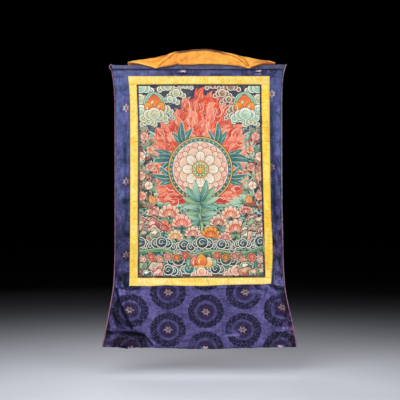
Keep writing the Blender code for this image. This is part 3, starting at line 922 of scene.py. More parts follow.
def turned(points, at, turn=0.0, size=1.0):
    """Points scaled and turned about (0, 0), which comes to at."""
    cosine, sine = np.cos(turn) * size, np.sin(turn) * size
    return np.asarray(points, float) @ np.array([[cosine, sine], [-sine, cosine]]) + np.asarray(at, float)


def lay_part(shape, at, turn, size, near, far=None):
    """Lays a shape drawn from (0, 0) up to (0, 1), turned and scaled into place and shaded from foot to
    tip."""
    lay(turned(shape, at, turn, size), near, far, turned([(0, 0), (0, 1)], at, turn, size))


def on_circle(angle):
    """The point or points of a circle of radius 1 at an angle or angles."""
    return np.stack([np.cos(angle), np.sin(angle)], -1)


def discs(at, *rings):
    """Round patches about one point, each given as its radius and its colours at the foot and at the
    top."""
    for out, *colours in rings:
        angle = np.linspace(0, 2 * np.pi, int(out * 0.35) + 9, endpoint=False)
        ring = turned(on_circle(angle), at, 0.3, out)
        lay(ring, *colours, ends=turned([(0, -1), (0, 1)], at, 0, out))


def blade(wide, count=8, blunt=0.6, lean=0.0, sway=0.0):
    """A petal, leaf or flame from (0, 0) up to 1. At a share t of its length its half width goes as the
    root of t times 1 - t to the power blunt, and its middle is aside by lean times t squared and sway
    times a sine of t."""
    t = (1 - np.cos(np.linspace(0, np.pi, count))) / 2
    half = np.sqrt(t) * (1 - t) ** blunt
    half *= wide / 2 / half.max()
    middle = lean * t**2 + sway * np.sin(2 * np.pi * t)
    return np.r_[np.stack([middle - half, t], 1), np.stack([middle + half, t], 1)[-2:0:-1]]


def edged(shape, at, turn, size, rim, rim_colour, near, far):
    """A part with a contour line: the same shape is laid first a rim larger all round, then in its own
    colours."""
    foot = turned([(0, -rim)], at, turn)[0]
    spread = shape * (1 + 2 * rim / (size * max(np.ptp(shape[:, 0]), 0.05)), 1 + 2 * rim / size)
    lay_part(spread, foot, turn, size, rim_colour)
    lay_part(shape, at, turn, size, near, far)


def cubic(first, last, leaving, arriving, share):
    """The cubic between a first and a last value, at a share of the way, that leaves and arrives with the
    two slopes given."""
    return (
        first * ((1 + 2 * share) * (1 - share) ** 2)
        + leaving * (share * (1 - share) ** 2)
        + last * (share * share * (3 - 2 * share))
        - arriving * (share * share * (1 - share))
    )


def smooth_line(points, step):
    """Points a step apart along a smooth curve through the given ones, and how far along it each is. A
    span is a cubic whose slopes are those between the points on either side."""
    points = np.array(points, float)
    slopes = np.gradient(points, axis=0)
    share = np.linspace(0, 1, 12, endpoint=False)[:, None]
    curve = cubic(points[:-1, None], points[1:, None], slopes[:-1, None], slopes[1:, None], share)
    curve = np.r_[curve.reshape(-1, points.shape[1]), points[-1:]]
    run = np.r_[0, np.cumsum(np.linalg.norm(np.diff(curve, axis=0), axis=1))]
    at = np.linspace(0, run[-1], max(round(run[-1] / step), 2) + 1)
    return np.stack([np.interp(at, run, curve[:, axis]) for axis in range(points.shape[1])], 1), at


def stroke(points, wide, colour, step=5.0):
    """A brush stroke along a smooth path, which swells from a fine start and runs out to a fine end."""
    path = smooth_line(points, step)[0]
    way = np.gradient(path, axis=0)
    side = np.stack([-way[:, 1], way[:, 0]], 1) / np.linalg.norm(way, axis=1)[:, None]
    half = wide / 2 * np.sin(np.pi * np.linspace(0.07, 0.93, len(path)))[:, None] ** 0.6
    lay(np.r_[path + side * half, (path - side * half)[::-1]], colour)


def cloud(x, y, size, tones, seed, lobes=5):
    """A bank of round lobes on a low arch, the middle one last. Each has a dark contour, a white rim, a
    body shaded upwards, and a spiral whose radius falls evenly as its angle grows."""
    draw = np.random.default_rng(seed)
    share = np.linspace(-1, 1, lobes)
    for number in np.argsort(-np.abs(share)):
        out = size * (0.64 - 0.22 * abs(share[number])) * draw.uniform(0.86, 1.16)
        place = (x + 1.25 * size * share[number], y + 0.5 * size * (1 - share[number] ** 2))
        discs(place, (out + 2.4, INK), (out + 0.7, CHALK), (out - 2.0, tones[0], tones[1]))
        hand, wind = (-1 if share[number] > 0 else 1), np.linspace(0, 1, 7)
        angle, reach = np.pi / 2 - hand + hand * 2.2 * np.pi * wind, out * (0.64 - 0.5 * wind)
        stroke(reach[:, None] * on_circle(angle) + place, 2.4, tones[2], out * 0.34)


def flame(at, turn, size, hand, rim, tones):
    """A tongue of fire that curls to one hand, with a lick at its side, a bright core and a line along
    it."""
    lick_at = turned([(-0.1 * hand, 0.2)], at, turn, size)[0]
    edged(blade(0.30, 6, 0.8, 0.5 * hand), lick_at, turn + 0.6 * hand, size * 0.55, 1.6, rim, *tones)
    edged(blade(0.42, 9, 0.8, 0.32 * hand, 0.10 * hand), at, turn, size, 1.8, rim, *tones)
    lay_part(blade(0.16, 7, 0.8, 0.28 * hand, 0.08 * hand), at, turn, size * 0.7, tones[1], SALMON)
    line = turned([(-0.12 * hand, 0.1), (-0.02 * hand, 0.4), (0.02, 0.62)], at, turn, size)
    stroke(line, 2.0, rim, size / 6)


def flower(x, y, size, turn, tones, petals=6, whorls=1):
    """Whorls of petals, the inner ones smaller and turned by half a petal, about a heart of gold."""
    for whorl in range(whorls):
        reach, shade = size * (1 - 0.3 * whorl), tones if whorl % 2 == 0 else tones[::-1]
        for number in range(petals):
            way = turn + 2 * np.pi * (number + whorl / 2) / petals
            petal = blade(2.1 * np.sin(np.pi / petals) + 0.25, 6, 0.3)
            edged(petal, (x, y), way, reach, 1.4, WINE, *shade)
    discs((x, y), (size * 0.24, GOLD), (size * 0.1, WINE))


def lotus(at, size, tones):
    """A lotus from the side: petals fanned about its foot, and a cup of short ones in front."""
    for way in (1.3, -1.3, 0.9, -0.9, 0.45, -0.45, 0.0):
        edged(blade(0.5, 7, 0.5, -0.12 * way), at, way, size * (1 - 0.1 * abs(way)), 1.5, WINE, *tones)
    for way in (-1.1, 1.1, -0.55, 0.55, 0.0):
        edged(blade(0.62, 7, 0.45), at, way, size * 0.56, 1.4, WINE, tones[1], tones[0])


def leaf(at, turn, size, tones, wide=0.4, lean=0.2, rim_colour=PINE):
    """A leaf with its contour and a pale midrib."""
    edged(blade(wide, 7, 0.7, lean), at, turn, size, 1.5, rim_colour, *tones)
    stroke(turned([(0, 0.1), (lean * 0.2, 0.5), (lean * 0.7, 0.85)], at, turn, size), 1.8, MIST, size / 4)


def jewel(x, y, size, turn, tones):
    """A drop on a gold collar, with a glint."""
    edged(blade(0.86, 9, 0.75), (x, y), turn, size, 1.6, INK, *tones)
    glint = turned([(-0.16, 0.25), (-0.2, 0.42), (-0.08, 0.62)], (x, y), turn, size)
    stroke(glint, size * 0.1, CHALK, size / 6)
    lay(turned([(-0.3, -0.08), (0.3, -0.08), (0.22, 0.1), (-0.22, 0.1)], (x, y), turn, size), GOLD)


def tendril(at, size, hand, colour):
    """A curl of grass, spray or smoke: it rises and winds in on itself to one hand as its steps
    shorten."""
    wind = np.linspace(0, 1, 9)
    way = np.pi / 2 + hand * (0.6 - 5.2 * wind**1.5)
    steps = on_circle(way) * (1.1 - wind)[:, None]
    stroke(np.cumsum(steps, 0) * size / 4 + at, 2.2, colour, size / 5)


def tuft(at, fan, count, wide, sizes, tones, draw):
    """Blades of grass or leaves fanned about one foot, each of a length drawn between two sizes."""
    for way in np.linspace(-fan, fan, count) + draw.normal(0, 0.15, count):
        lay_part(blade(wide, 5, 0.7, 0.3 * np.sign(way)), at, way, draw.uniform(*sizes), *tones)


CRACKS = (((0.8, 0.5), (0.2, 0.1), (0.3, -0.7)), ((-0.7, -0.1), (-0.2, -0.3), (-0.3, -0.8)))
STONES = ((WINE, ROSE), (BROWN, SALMON), (PINE, SAGE), (NIGHT, TEAL), (ROSE, BLUSH), (PINE, LEAF))


def boulders(x, y, wide, rows, seed):
    """A heap of worn stones, piled up row by row from the back. A stone's radius waves with the angle,
    its upper side is lit, and brush lines follow its cracks."""
    draw = np.random.default_rng(seed)
    angle = np.linspace(0, 2 * np.pi, 13, endpoint=False)
    for row in range(rows - 1, -1, -1):
        for share in np.linspace(-1, 1, 2 * rows - row - 1):
            size, lean = draw.uniform(15, 24), draw.normal(0, 0.5)
            across = x + wide / 2 * share * (1 - 0.15 * row) + draw.normal(0, 3)
            at = (across, y + 20 * row + draw.normal(0, 4))
            out = 1 + 0.15 * np.sin(3 * angle + draw.uniform(0, 6))
            out += 0.12 * np.sin(5 * angle + draw.uniform(0, 6))
            stone = on_circle(angle) * (1.1, 1) * out[:, None]
            deep, pale = STONES[int(draw.integers(6))]
            rim = (BLUSH, SAGE, BONE, CHALK)[int(draw.integers(4))]
            lit = turned([(0.5, -1), (-0.4, 1)], at, 0, size)
            for grow, *colours in ((3.2, INK), (0.4, rim), (-1.6, deep, pale)):
                lay(turned(stone, at, 0.3, size + grow), *colours, ends=lit)
            lay(turned(stone * (0.45, 0.3), (at[0] - size * 0.25, at[1] + size * 0.42), 0.2, size), rim)
            for crack in CRACKS:
                stroke(turned(crack, at, lean, size), 2.6, (WINE, PINE, INK)[row % 3], size / 3)


half_wide, half_tall = CANVAS_WIDE / 2, CANVAS_TALL / 2
across = np.linspace(-half_wide, half_wide, 60)


def land(skyline, foot, ends, *layers):
    """Ground from a skyline down to a level foot, in layers that each start lower than the one before."""
    for drop, *colours in layers:
        corners = [(half_wide, foot), (-half_wide, foot)]
        fading = ((0, ends[0]), (0, ends[1]))
        lay(np.r_[np.stack([across, skyline - drop], 1), corners], *colours, ends=fading)


# The ground of the picture: night sky that pales to a far shore, hills, and a lake of scales.
sky = np.array([(-1, -1), (1, -1), (1, 1), (-1, 1)]) * (half_wide, half_tall)
lay(sky, NAVY, DEEP_TEAL, ((0, 350), (0, 130)))
for height, tones, seed in ((150, (SEA, TEAL), 0), (-30, (SAGE, LEAF), 1), (-84, (MIST, SEA), 2)):
    ridge = height + 22 * np.abs(np.sin(across / 47 + seed)) + 40 * (np.abs(across) / half_wide) ** 2
    land(ridge, height - 90, (height + 50, height - 50), (0, INK), (2.2, CHALK), (4.6, *tones))
draw = np.random.default_rng(7)
WATERS = ((DEEP_TEAL, TEAL), (NIGHT, DEEP_TEAL), (TEAL, SEA), (NAVY, TEAL), (DEEP_TEAL, SEA))
for row, height in enumerate(np.arange(-102, -300, -11.0)):
    for place in np.arange(-half_wide + (row % 2) * 12, half_wide + 13, 24):
        deep, pale = WATERS[int(draw.integers(5))]
        rim = (SAGE, MIST, CHALK)[int(draw.integers(3))]
        discs((place, height), (13.4, NIGHT), (11.6, rim), (9.4, deep, pale), (5, NIGHT, deep))

# The fire, row by row from its edge in. It stands highest in the middle, and every tongue bends upwards.
MIDDLE = np.array([0.0, 44.0])
angle = np.linspace(-0.95, np.pi + 0.95, 70)
reach = 150 + 18 * np.sin(5 * angle + 1) + 122 * np.maximum(np.sin(angle), 0) ** 3
reach = reach + 30 * np.abs(np.cos(angle)) ** 3
lay(MIDDLE + on_circle(angle) * (reach[:, None] - 4), CRIMSON, VERMILION, ((0, -80), (0, 240)))
draw = np.random.default_rng(5)
FIRE = ((VERMILION, FLAME), (FLAME, SALMON), (CRIMSON, FLAME), (VERMILION, SALMON), (CRIMSON, VERMILION))
for row in (4, 3, 2, 1, 0):
    for number, way in enumerate(np.linspace(-0.95, np.pi + 0.95, 30 + 5 * row)):
        way = way + draw.normal(0, 0.03)
        out = 112 + (np.interp(way, angle, reach) - 118) * row / 4 - 16
        foot, hand = MIDDLE + out * on_circle(way), 1 if draw.random() < 0.5 else -1
        rim = (BLUSH, WINE, CREAM, CRIMSON)[int(draw.integers(4))]
        turn, size = 0.66 * (way - np.pi / 2) + draw.normal(0, 0.25), draw.uniform(34, 66)
        flame(foot, turn, size, hand, rim, FIRE[number % 5])
    for way in draw.uniform(-0.9, np.pi + 0.9, 16):
        foot = MIDDLE + (112 + (np.interp(way, angle, reach) - 118) * row / 4) * on_circle(way)
        tendril(foot, draw.uniform(16, 26), 1 if way < 1.5 else -1, (BLUSH, CREAM, WINE, AMBER)[row % 4])

# Scrolling teal leaves about the halo, and in the halo the great lotus.
for way, hand, size in (
    (0.35, 1, 84), (1.0, -1, 74), (2.14, 1, 78), (2.8, -1, 88), (-0.3, -1, 70), (3.44, 1, 70),
):
    foot, turn = MIDDLE + 112 * on_circle(way), way - np.pi / 2
    for aside, share in ((0.5, 0.72), (-0.45, 0.8), (0.0, 1.0)):
        leaf(foot, turn + aside * 1.3, size * share, (DEEP_TEAL, TEAL), 0.42, 0.5 * hand, CHALK)
discs(MIDDLE, (125, INK), (122.5, GOLD), (118, DEEP_TEAL, TEAL), (105, CHALK), (102, ROSE, BLUSH))
for way in np.arange(0, 2 * np.pi, np.pi / 20):
    discs(MIDDLE + 111.5 * on_circle(way), (3.2, AMBER))
for count, foot, size, wide, shift, tones in (
    (16, 42, 60, 0.50, 0.5, (VERMILION, BLUSH)),
    (16, 40, 51, 0.44, 0.0, (BONE, CREAM)),
    (8, 26, 58, 0.82, 0.5, (ROSE, CREAM)),
    (8, 22, 46, 0.74, 0.0, (BONE, CHALK)),
):
    for number in range(count):
        way = 2 * np.pi * (number + shift) / count
        at, turn = MIDDLE + foot * on_circle(way), way - np.pi / 2
        edged(blade(wide, 10, 0.42), at, turn, size, 1.7, WINE, *tones)
        lay_part(blade(wide * 0.6, 9, 0.5), at, turn, size * 0.72, *tones)
        stroke(turned([(0, 0.08), (0.01, 0.4), (0, 0.8)], at, turn, size), 1.8, ROSE, size / 5)
discs(MIDDLE, (33, WINE), (31, GOLD), (27, LEAF, SAGE), (17, WINE), (15.2, AMBER, GOLD))
for out, count, colour in ((22, 12, CHALK), (9, 6, WINE)):
    for way in np.arange(count) * 2 * np.pi / count:
        discs(MIDDLE + out * on_circle(way), (2.4, colour))

# The stem and its leaves, and small lotuses about it on the water.
for extra, colour in ((4, PINE), (0, LEAF), (-6, SAGE)):
    stroke([(0, -78), (-5, -128), (4, -170), (0, -224)], 13 + extra, colour)
LEAF_TONES = ((TEAL, MIST), (LEAF, SAGE), (DEEP_TEAL, SEA))
for side in (-1, 1):
    for number, (x, y, turn) in enumerate((
        (2, -150, 2.1), (2, -146, 1.5), (3, -116, 1.95), (3, -112, 1.4),
        (0, -84, 2.1), (0, -80, 1.6), (0, -78, 1.1), (0, -76, 0.6),
    )):
        tones = LEAF_TONES[(number + side) % 3]
        leaf((side * x, y), -side * turn, 50 + 4 * number, tones, 0.36, -side * 0.3)
for x, y, size, tones in (
    (-176, -128, 34, (ROSE, CREAM)), (170, -122, 32, (CRIMSON, BLUSH)),
    (-118, -132, 46, (VERMILION, CREAM)), (112, -136, 42, (FLAME, CREAM)),
    (-72, -168, 44, (FLAME, BLUSH)), (66, -164, 38, (CRIMSON, CREAM)),
    (-142, -186, 38, (CRIMSON, SALMON)), (130, -190, 46, (VERMILION, CREAM)),
    (-30, -206, 36, (ROSE, CREAM)), (36, -212, 42, (VERMILION, AMBER)),
    (-96, -218, 34, (AMBER, CREAM)), (90, -222, 30, (ROSE, BLUSH)),
):
    stroke([(x, y), (x + 5, y - 14), (x - 2, y - 32)], 7, PINE)
    for turn in (1.8, -1.7):
        leaf((x, y - 18), turn, size * 0.8, LEAF_TONES[size % 3], 0.5)
    lotus((x, y), size, tones)

# Jewels on clouds in the upper corners, and at both sides a grove with blossoms over a heap of stones.
MINT_CLOUD, PINK_CLOUD, WARM_CLOUD = (SEA, CHALK, TEAL), (SALMON, CREAM, ROSE), (BROWN, BONE, WINE)
JADE_CLOUD, DEEP_CLOUD = (SAGE, CREAM, LEAF), (DEEP_TEAL, TEAL, MIST)
GREENS = ((PINE, SEA), (LEAF, CHALK), (NIGHT, SAGE), (PINE, BONE), (BROWN, ROSE))
for side in (-1, 1):
    for x, y, size, tones in (
        (222, 340, 30, MINT_CLOUD), (120, 346, 24, JADE_CLOUD), (52, 352, 18, MINT_CLOUD),
        (226, 296, 28, JADE_CLOUD), (88, 322, 22, JADE_CLOUD), (112, 298, 22, MINT_CLOUD),
        (142, 262, 26, JADE_CLOUD), (224, 252, 30, MINT_CLOUD), (160, 226, 24, MINT_CLOUD),
        (124, 238, 18, DEEP_CLOUD), (196, 214, 20, JADE_CLOUD),
    ):
        cloud(side * x, y, size, WARM_CLOUD if side > 0 and x < 150 else tones, x)
    discs((side * 172, 296), (42, INK), (40, MIST), (37, TEAL, SEA), (31, LEAF, MIST))
    jewel(side * 172, 266, 62, 0, (AMBER, VERMILION))
    for turn in (0.5, -0.5):
        jewel(side * 172 + 26 * turn, 262, 40, -turn, (VERMILION, AMBER))
    cloud(side * 174, 238, 33, JADE_CLOUD if side < 0 else MINT_CLOUD, 9)
    shadow = np.array([(160, -96), (184, -30), (182, 30), (176, 120), (196, 196), (252, 206), (252, -110)])
    lay(shadow * (side, 1), PINE, NIGHT, ((0, -100), (0, 150)))
    draw = np.random.default_rng(60 + side)
    for y in np.linspace(196, -100, 44):
        x = draw.uniform(np.interp(y, (-92, 20, 132, 196), (158, 176, 178, 200)), 244)
        tuft((side * x, y - 8), 1.5, 7, 0.19, (16, 30), GREENS[int(draw.integers(5))], draw)
        foot, size = (side * draw.uniform(160, 236), y), draw.uniform(14, 24)
        tendril(foot, size, side, (CREAM, SAGE, ROSE, BLUSH)[int(draw.integers(4))])
    for x, y, size, tones in (
        (212, 168, 15, (ROSE, BLUSH)), (190, 118, 14, (VERMILION, CREAM)), (226, 92, 16, (SALMON, CHALK)),
        (192, 52, 15, (CRIMSON, BLUSH)), (226, 18, 16, (ROSE, CREAM)), (196, -18, 15, (BLUSH, CHALK)),
        (222, -58, 16, (VERMILION, BLUSH)), (182, -72, 13, (SALMON, AMBER)),
    ):
        flower(side * x, y, size, x + y, tones, 5)
    boulders(side * 206, -214, 80, 4, 30 + side)

# The near bank, where dark waves with white edges break, with a heap of jewels between flowers, stones
# and clouds.
DARK_WAVE = (NIGHT, DEEP_TEAL, CHALK)
for x, y, size in (
    (-228, -250, 30), (222, -248, 32), (-64, -258, 30), (76, -256, 32), (-148, -250, 34), (156, -252, 30),
    (4, -250, 34),
):
    cloud(x, y, size, DARK_WAVE, abs(x))
bank = -268 + 9 * np.sin(across / 31) + 16 * (across / half_wide) ** 2
for layer in (
    (0, INK), (2.2, MIST), (4.6, LEAF, PINE), (16, INK), (18, DEEP_TEAL, PINE), (34, CHALK),
    (36, ROSE, BROWN), (52, INK), (54, TEAL, PINE), (76, MIST), (78, BROWN, NIGHT),
):
    land(bank, -half_tall, (-262 - layer[0], -330 - layer[0] / 2), layer)
draw = np.random.default_rng(8)
for y in np.linspace(-282, -362, 60):
    x = draw.uniform(-236, 236)
    tuft((x, y), 1.2, 5, 0.2, (12, 22), GREENS[int(draw.integers(5))], draw)
    foot, size = (draw.uniform(-236, 236), y), draw.uniform(12, 20)
    tendril(foot, size, 1 if x > 0 else -1, (MIST, SALMON, CHALK)[int(draw.integers(3))])
for x, y, size, tones in (
    (-86, -316, 38, DARK_WAVE), (92, -318, 38, DARK_WAVE), (-46, -346, 28, DEEP_CLOUD),
    (52, -348, 30, DARK_WAVE), (-124, -352, 30, DARK_WAVE), (130, -354, 28, PINK_CLOUD),
    (0, -356, 24, PINK_CLOUD),
):
    cloud(x, y, size, tones, abs(x))
for x, size, tones in (
    (-38, 30, (DEEP_TEAL, SEA)), (38, 30, (LEAF, MIST)), (-20, 38, (CRIMSON, SALMON)),
    (21, 38, (AMBER, CREAM)), (0, 48, (VERMILION, AMBER)),
):
    jewel(x, -324, size, -x * 0.012, tones)
for side in (-1, 1):
    for x, y, size, tones in (
        (60, -282, 14, (CRIMSON, SALMON)), (92, -290, 13, (VERMILION, AMBER)),
        (124, -286, 15, (CRIMSON, BLUSH)), (156, -298, 13, (FLAME, CREAM)),
        (188, -290, 15, (CRIMSON, SALMON)), (220, -300, 13, (SALMON, CHALK)),
        (150, -328, 14, (AMBER, CREAM)), (222, -330, 13, (VERMILION, BLUSH)),
    ):
        for turn in (1.9, -1.9, 2.7):
            leaf((side * x, y), turn, size * 1.6, (PINE, LEAF))
        flower(side * x, y, size, x, tones, 6, 2)
    boulders(side * 198, -352, 64, 2, 36 + side)

# The lines that frame the picture.
x, y = PICTURE_WIDE / 2 - 7, PICTURE_TALL / 2 - 6
for wide, colour in ((24, INK), (2.2, NAVY)):
    for left, foot, right, top in (
        (-x - wide, -y - wide, -x, y + wide), (x, -y - wide, x + wide, y + wide),
        (-x, -y - wide, x, -y), (-x, y, x, y + wide),
    ):
        lay([(left, foot), (right, foot), (right, top), (left, top)], colour)


def cut_patches(patches, wide, tall, cell):
    """Cuts overlapping outlines into triangles that don't overlap, and gives each triangle the patch that
    lies on top of it. A first cut has every outline. Its lines that another patch hides are then
    dissolved, and a second cut has only those that show, with extra points a cell apart, where the mesh
    follows the cloth."""
    points, outlines = [], []
    for outline_points, *_ in patches:
        outlines.append(list(range(len(points), len(points) + len(outline_points))))
        points.extend(Vector(point) for point in outline_points)
    flat, _, faces, _, _, owners = delaunay_2d_cdt(points, [], outlines, 1, CLOSE, True)
    top = np.array([max(owner, default=-1) for owner in owners])
    flat = np.array([tuple(point) for point in flat])
    middle = np.abs(flat[np.array(faces)].mean(1))
    inside = (middle[:, 0] < wide / 2) & (middle[:, 1] < tall / 2) & (top >= 0)
    top = top[inside]
    cut = bpy.data.meshes.new("cut patches")
    cut.from_pydata(np.c_[flat, 0 * flat[:, 0]], [], np.array(faces)[inside])
    cut.polygons.foreach_set("material_index", top.astype(np.int32))
    shown = bmesh.new()
    shown.from_mesh(cut)
    bmesh.ops.delete(shown, geom=[vert for vert in shown.verts if not vert.link_faces], context="VERTS")
    bmesh.ops.dissolve_limit(
        shown, angle_limit=0.002, verts=shown.verts, edges=shown.edges, delimit={"MATERIAL"}
    )
    shown.verts.index_update()
    kept = [vert.co.xy for vert in shown.verts]
    lines = [(edge.verts[0].index, edge.verts[1].index) for edge in shown.edges]
    inner = [np.arange(-half + cell / 2, half - 1, cell / 2) for half in (wide / 2, tall / 2)]
    kept.extend(Vector(point) for point in np.stack(np.meshgrid(*inner), -1).reshape(-1, 2))
    flat, _, faces, _, _, _ = delaunay_2d_cdt(kept, lines, [], 0, CLOSE, False)
    flat, faces = np.array([tuple(point) for point in flat]), np.array(faces)
    corners = [vert.co for vert in cut.vertices]
    under = BVHTree.FromPolygons(corners, [tuple(face.vertices) for face in cut.polygons])
    found = [under.find_nearest((x, y, 0))[2] for x, y in flat[faces].mean(1)]
    shown.free()
    bpy.data.meshes.remove(cut)
    return flat, faces, top[np.array(found)]


def shaded(patches, places, top):
    """The colour of each triangle's corners: how far each lies between its patch's two ends mixes near
    and far."""
    near = np.array([(*near[:3], gold) for _, near, _, _, gold in patches])[top]
    far = np.array([(*far[:3], gold) for _, _, far, _, gold in patches])[top]
    ends = np.array([ends for *_, ends, _ in patches])[top]
    run = ends[:, 1] - ends[:, 0]
    share = ((places - ends[:, None, 0]) * run[:, None]).sum(-1) / (run * run).sum(-1)[:, None]
    share = np.clip(share, 0, 1)[..., None]
    return near[:, None] * (1 - share) + far[:, None] * share


def canvas_mesh(name, flat, faces, colours, edges, thick):
    """The picture's triangles bent onto the hang of the cloth, with the canvas's edge and plain back
    behind. The back is cut afresh from the points round the rim and a coarse grid, so that it stays
    light."""
    def from_rim(places):
        return (np.array([CANVAS_WIDE, CANVAS_TALL]) / 2 - np.abs(places)).min(1)

    def at(places, behind):
        x, z = between(edges, places[:, 0] / CANVAS_WIDE + 0.5, places[:, 1] / CANVAS_TALL + 0.5)
        sunk = RIM_SINK * bell(from_rim(places), RIM_REACH, 4)
        return np.stack([x, hang(x, z) + behind + sunk, z], 1)

    rim = np.flatnonzero(from_rim(flat) < ON_RIM)
    side_x, side_y = flat[rim, 0] / CANVAS_WIDE, flat[rim, 1] / CANVAS_TALL
    end = 0.5 - AT_CORNER
    bottom, right, upper = side_y < -end, side_x > end, side_y > end
    run = np.where(bottom, side_x, np.where(right, 1 + side_y, np.where(upper, 2 - side_x, 3 - side_y)))
    rim = rim[np.argsort(run)]
    loop = flat[rim]
    columns, rows = np.linspace(-0.46, 0.46, 16) * CANVAS_WIDE, np.linspace(-0.47, 0.47, 24) * CANVAS_TALL
    grid = np.stack(np.meshgrid(columns, rows), -1).reshape(-1, 2)
    back_points, border = [Vector(point) for point in np.r_[loop, grid]], list(range(len(loop)))
    back, _, back_faces, _, _, _ = delaunay_2d_cdt(back_points, [], [border], 1, CLOSE, True)
    back = np.array([tuple(point) for point in back])
    corners = np.r_[at(flat, 0), at(back, thick)]
    start = len(flat)
    nearest = np.array([start + np.abs(back - point).sum(1).argmin() for point in loop])
    following = np.roll(np.arange(len(rim)), -1)
    wall = np.stack([rim, nearest, nearest[following], rim[following]], 1)
    mesh = bpy.data.meshes.new(name)
    back_faces = [[start + corner for corner in face[::-1]] for face in back_faces]
    mesh.from_pydata(corners * MM, [], [*faces.tolist(), *wall.tolist(), *back_faces])
    paint = mesh.color_attributes.new("paint", "FLOAT_COLOR", "CORNER")
    bare = np.tile(np.array([*CREAM[:3], 0.0]), (len(mesh.loops) - colours.size // 4, 1))
    paint.data.foreach_set("color", np.r_[colours.reshape(-1, 4), bare].astype(np.float32).ravel())
    raw = np.r_[np.zeros(len(faces)), np.ones(len(mesh.polygons) - len(faces))].astype(np.int32)
    return mesh, raw


def paint_finish():
    """Mineral paint on primed canvas: grainy and matt, crackled, rubbed down to the chalk in places,
    darkened by smoke, with level creases from rolling where the paint has split. The gold leaf has a low
    shine."""
    material, link, place = new_finish("mineral paint", Specular_IOR_Level=0.25)
    paint, leaf_gold = place.attribute("paint"), place.attribute("paint", 3)
    x, z = place.split(0, 2)
    grain = place.noise(420, 2, 0.6)
    smoke = place.noise(6, 3, 0.55)
    rubbed = place.noise(38, 4, 0.7)
    drift = place.noise(12, 2) * 0.012
    crease = (z + drift).threads(31).over(0.985, 0.02) * place.noise(30, 2).over(0.5, 0.15)
    crackle = place.node("TexVoronoi", {"feature": "DISTANCE_TO_EDGE"}, {"Vector": place, "Scale": 210})
    cracks = crackle.under(0.05, 0.05) * rubbed.over(0.5, 0.2)
    colour = (grain.over(0.5, 0.7) * 0.10).between(paint, dyed(120, 96, 74))
    colour = (rubbed.over(0.66, 0.1) * 0.5).between(colour, dyed(224, 200, 168))
    colour = (smoke.over(0.55, 0.3) * 0.14).between(colour, dyed(112, 88, 66))
    colour = (crease * 0.45 + cracks * 0.25).between(colour, dyed(216, 196, 164))
    height = x.threads(0.9) * z.threads(0.9) * 0.18 + grain * 0.35
    height = height - crease * 0.8 - cracks * 0.3 + rubbed * 0.3
    rough = grain * 0.2 + 0.68 - leaf_gold * 0.34
    link(Base_Color=colour, Metallic=leaf_gold * 0.75, Roughness=rough, Normal=raised(height, 0.22, 0.7))
    return material


def raw_canvas_finish():
    """Undyed cotton seen from behind: open square weave, brown with age, with water rings."""
    material, link, place = new_finish("raw canvas", Specular_IOR_Level=0.2)
    x, z = place.split(0, 2)
    weave = x.threads(1.1) * z.threads(1.1)
    cloudy, slub = place.noise(9, 4, 0.6), place.stretched(30, 400, 30).noise(1.0, 2)
    colour = cloudy.over(0.5, 0.5).between(dyed(176, 150, 112), dyed(212, 190, 152))
    colour = (cloudy * 22).sine().over(0.93, 0.1).between(colour, dyed(150, 120, 84))
    colour = (weave.over(0.3, 0.8) * 0.3).between(colour, dyed(140, 116, 84))
    height = weave * 0.3 + slub * 0.5
    link(Base_Color=colour, Roughness=0.85 + slub * 0.1, Normal=raised(height, 0.25, 0.8))
    return material


edges = outline("painting", CANVAS_UNEVEN)
flat, faces, top = cut_patches(painted, CANVAS_WIDE, CANVAS_TALL, CANVAS_CELL)
colours = shaded(painted, flat[faces], top)
mesh, raw = canvas_mesh("painting_canvas", flat, faces, colours, edges, CANVAS_THICK)
painting = add_piece("painting_canvas", mesh, [paint_finish(), raw_canvas_finish()])
mesh.polygons.foreach_set("material_index", raw)
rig.replaces(painting, "painting")
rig.slot(painting, "painted_canvas")
u, v = np.meshgrid(np.linspace(0, 1, 40), np.linspace(0, 1, 60))
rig.sheet(painting, **cut_size(*between(edges, u, v)), held="hung", rests_on=["strip_top"])

# ---- The yellow strips ---------------------------------------------------------------------------
# The painting is framed in four strips of plain yellow silk, folded under at their edges and run down
# with small stitches over the canvas and the brocade. The level ones run the full width. Age has left
# them pale along the top and blotched with ochre where fingers and paste have been.

STRIP_THICK, STRIP_STANDS, STRIP_UNEVEN = 1.2, 1.7, 12
STRIP_PLUMP, FOLDED_EDGE, STRIP_CLEARS, STITCH_INSET = 0.55, 0.9, 0.8, 2.4
STRIP_STEP, SIDES_RUN_ON, RUN_ON_REACH = (2.4, 2.2), 4.2, 12


def yellow_finish():
    """Plain silk in a fine square weave, blotched ochre and ivory, with slubs along each thread."""
    material, link, place = new_finish("yellow silk", Sheen_Weight=0.1, Specular_IOR_Level=0.3)
    cloth = place.cloth()
    along, up = cloth.split(0, 1)
    blotch = place.noise(30, 5, 0.7)
    broad = place.noise(17, 3, 0.6)
    grain = place.noise(170, 2, 0.6)
    slub_along, slub_up = cloth.streaks(60, 900), cloth.streaks(900, 60)
    colour = blotch.over(0.47, 0.16).between(dyed(245, 200, 58), dyed(253, 224, 108))
    colour = (broad.over(0.54, 0.14) * 0.6).between(colour, dyed(255, 235, 152))
    colour = ((blotch * 0.55 + grain * 0.45).over(0.57, 0.07) * 0.6).between(colour, dyed(228, 160, 48))
    colour = ((broad * 0.4 + grain * 0.6).under(0.42, 0.05) * 0.5).between(colour, dyed(255, 240, 176))
    colour = ((slub_along * slub_up).over(0.33, 0.14) * 0.35).between(colour, dyed(255, 236, 150))
    height = up.ribs(0.5) * along.ribs(0.5) * 0.4 + slub_along * 0.5 + slub_up * 0.5 + blotch * 0.4
    colour = colour.times(place.attribute("wear"))
    link(Base_Color=colour, Roughness=0.5 + blotch * 0.2, Normal=raised(height, 0.16, 0.7))
    return material


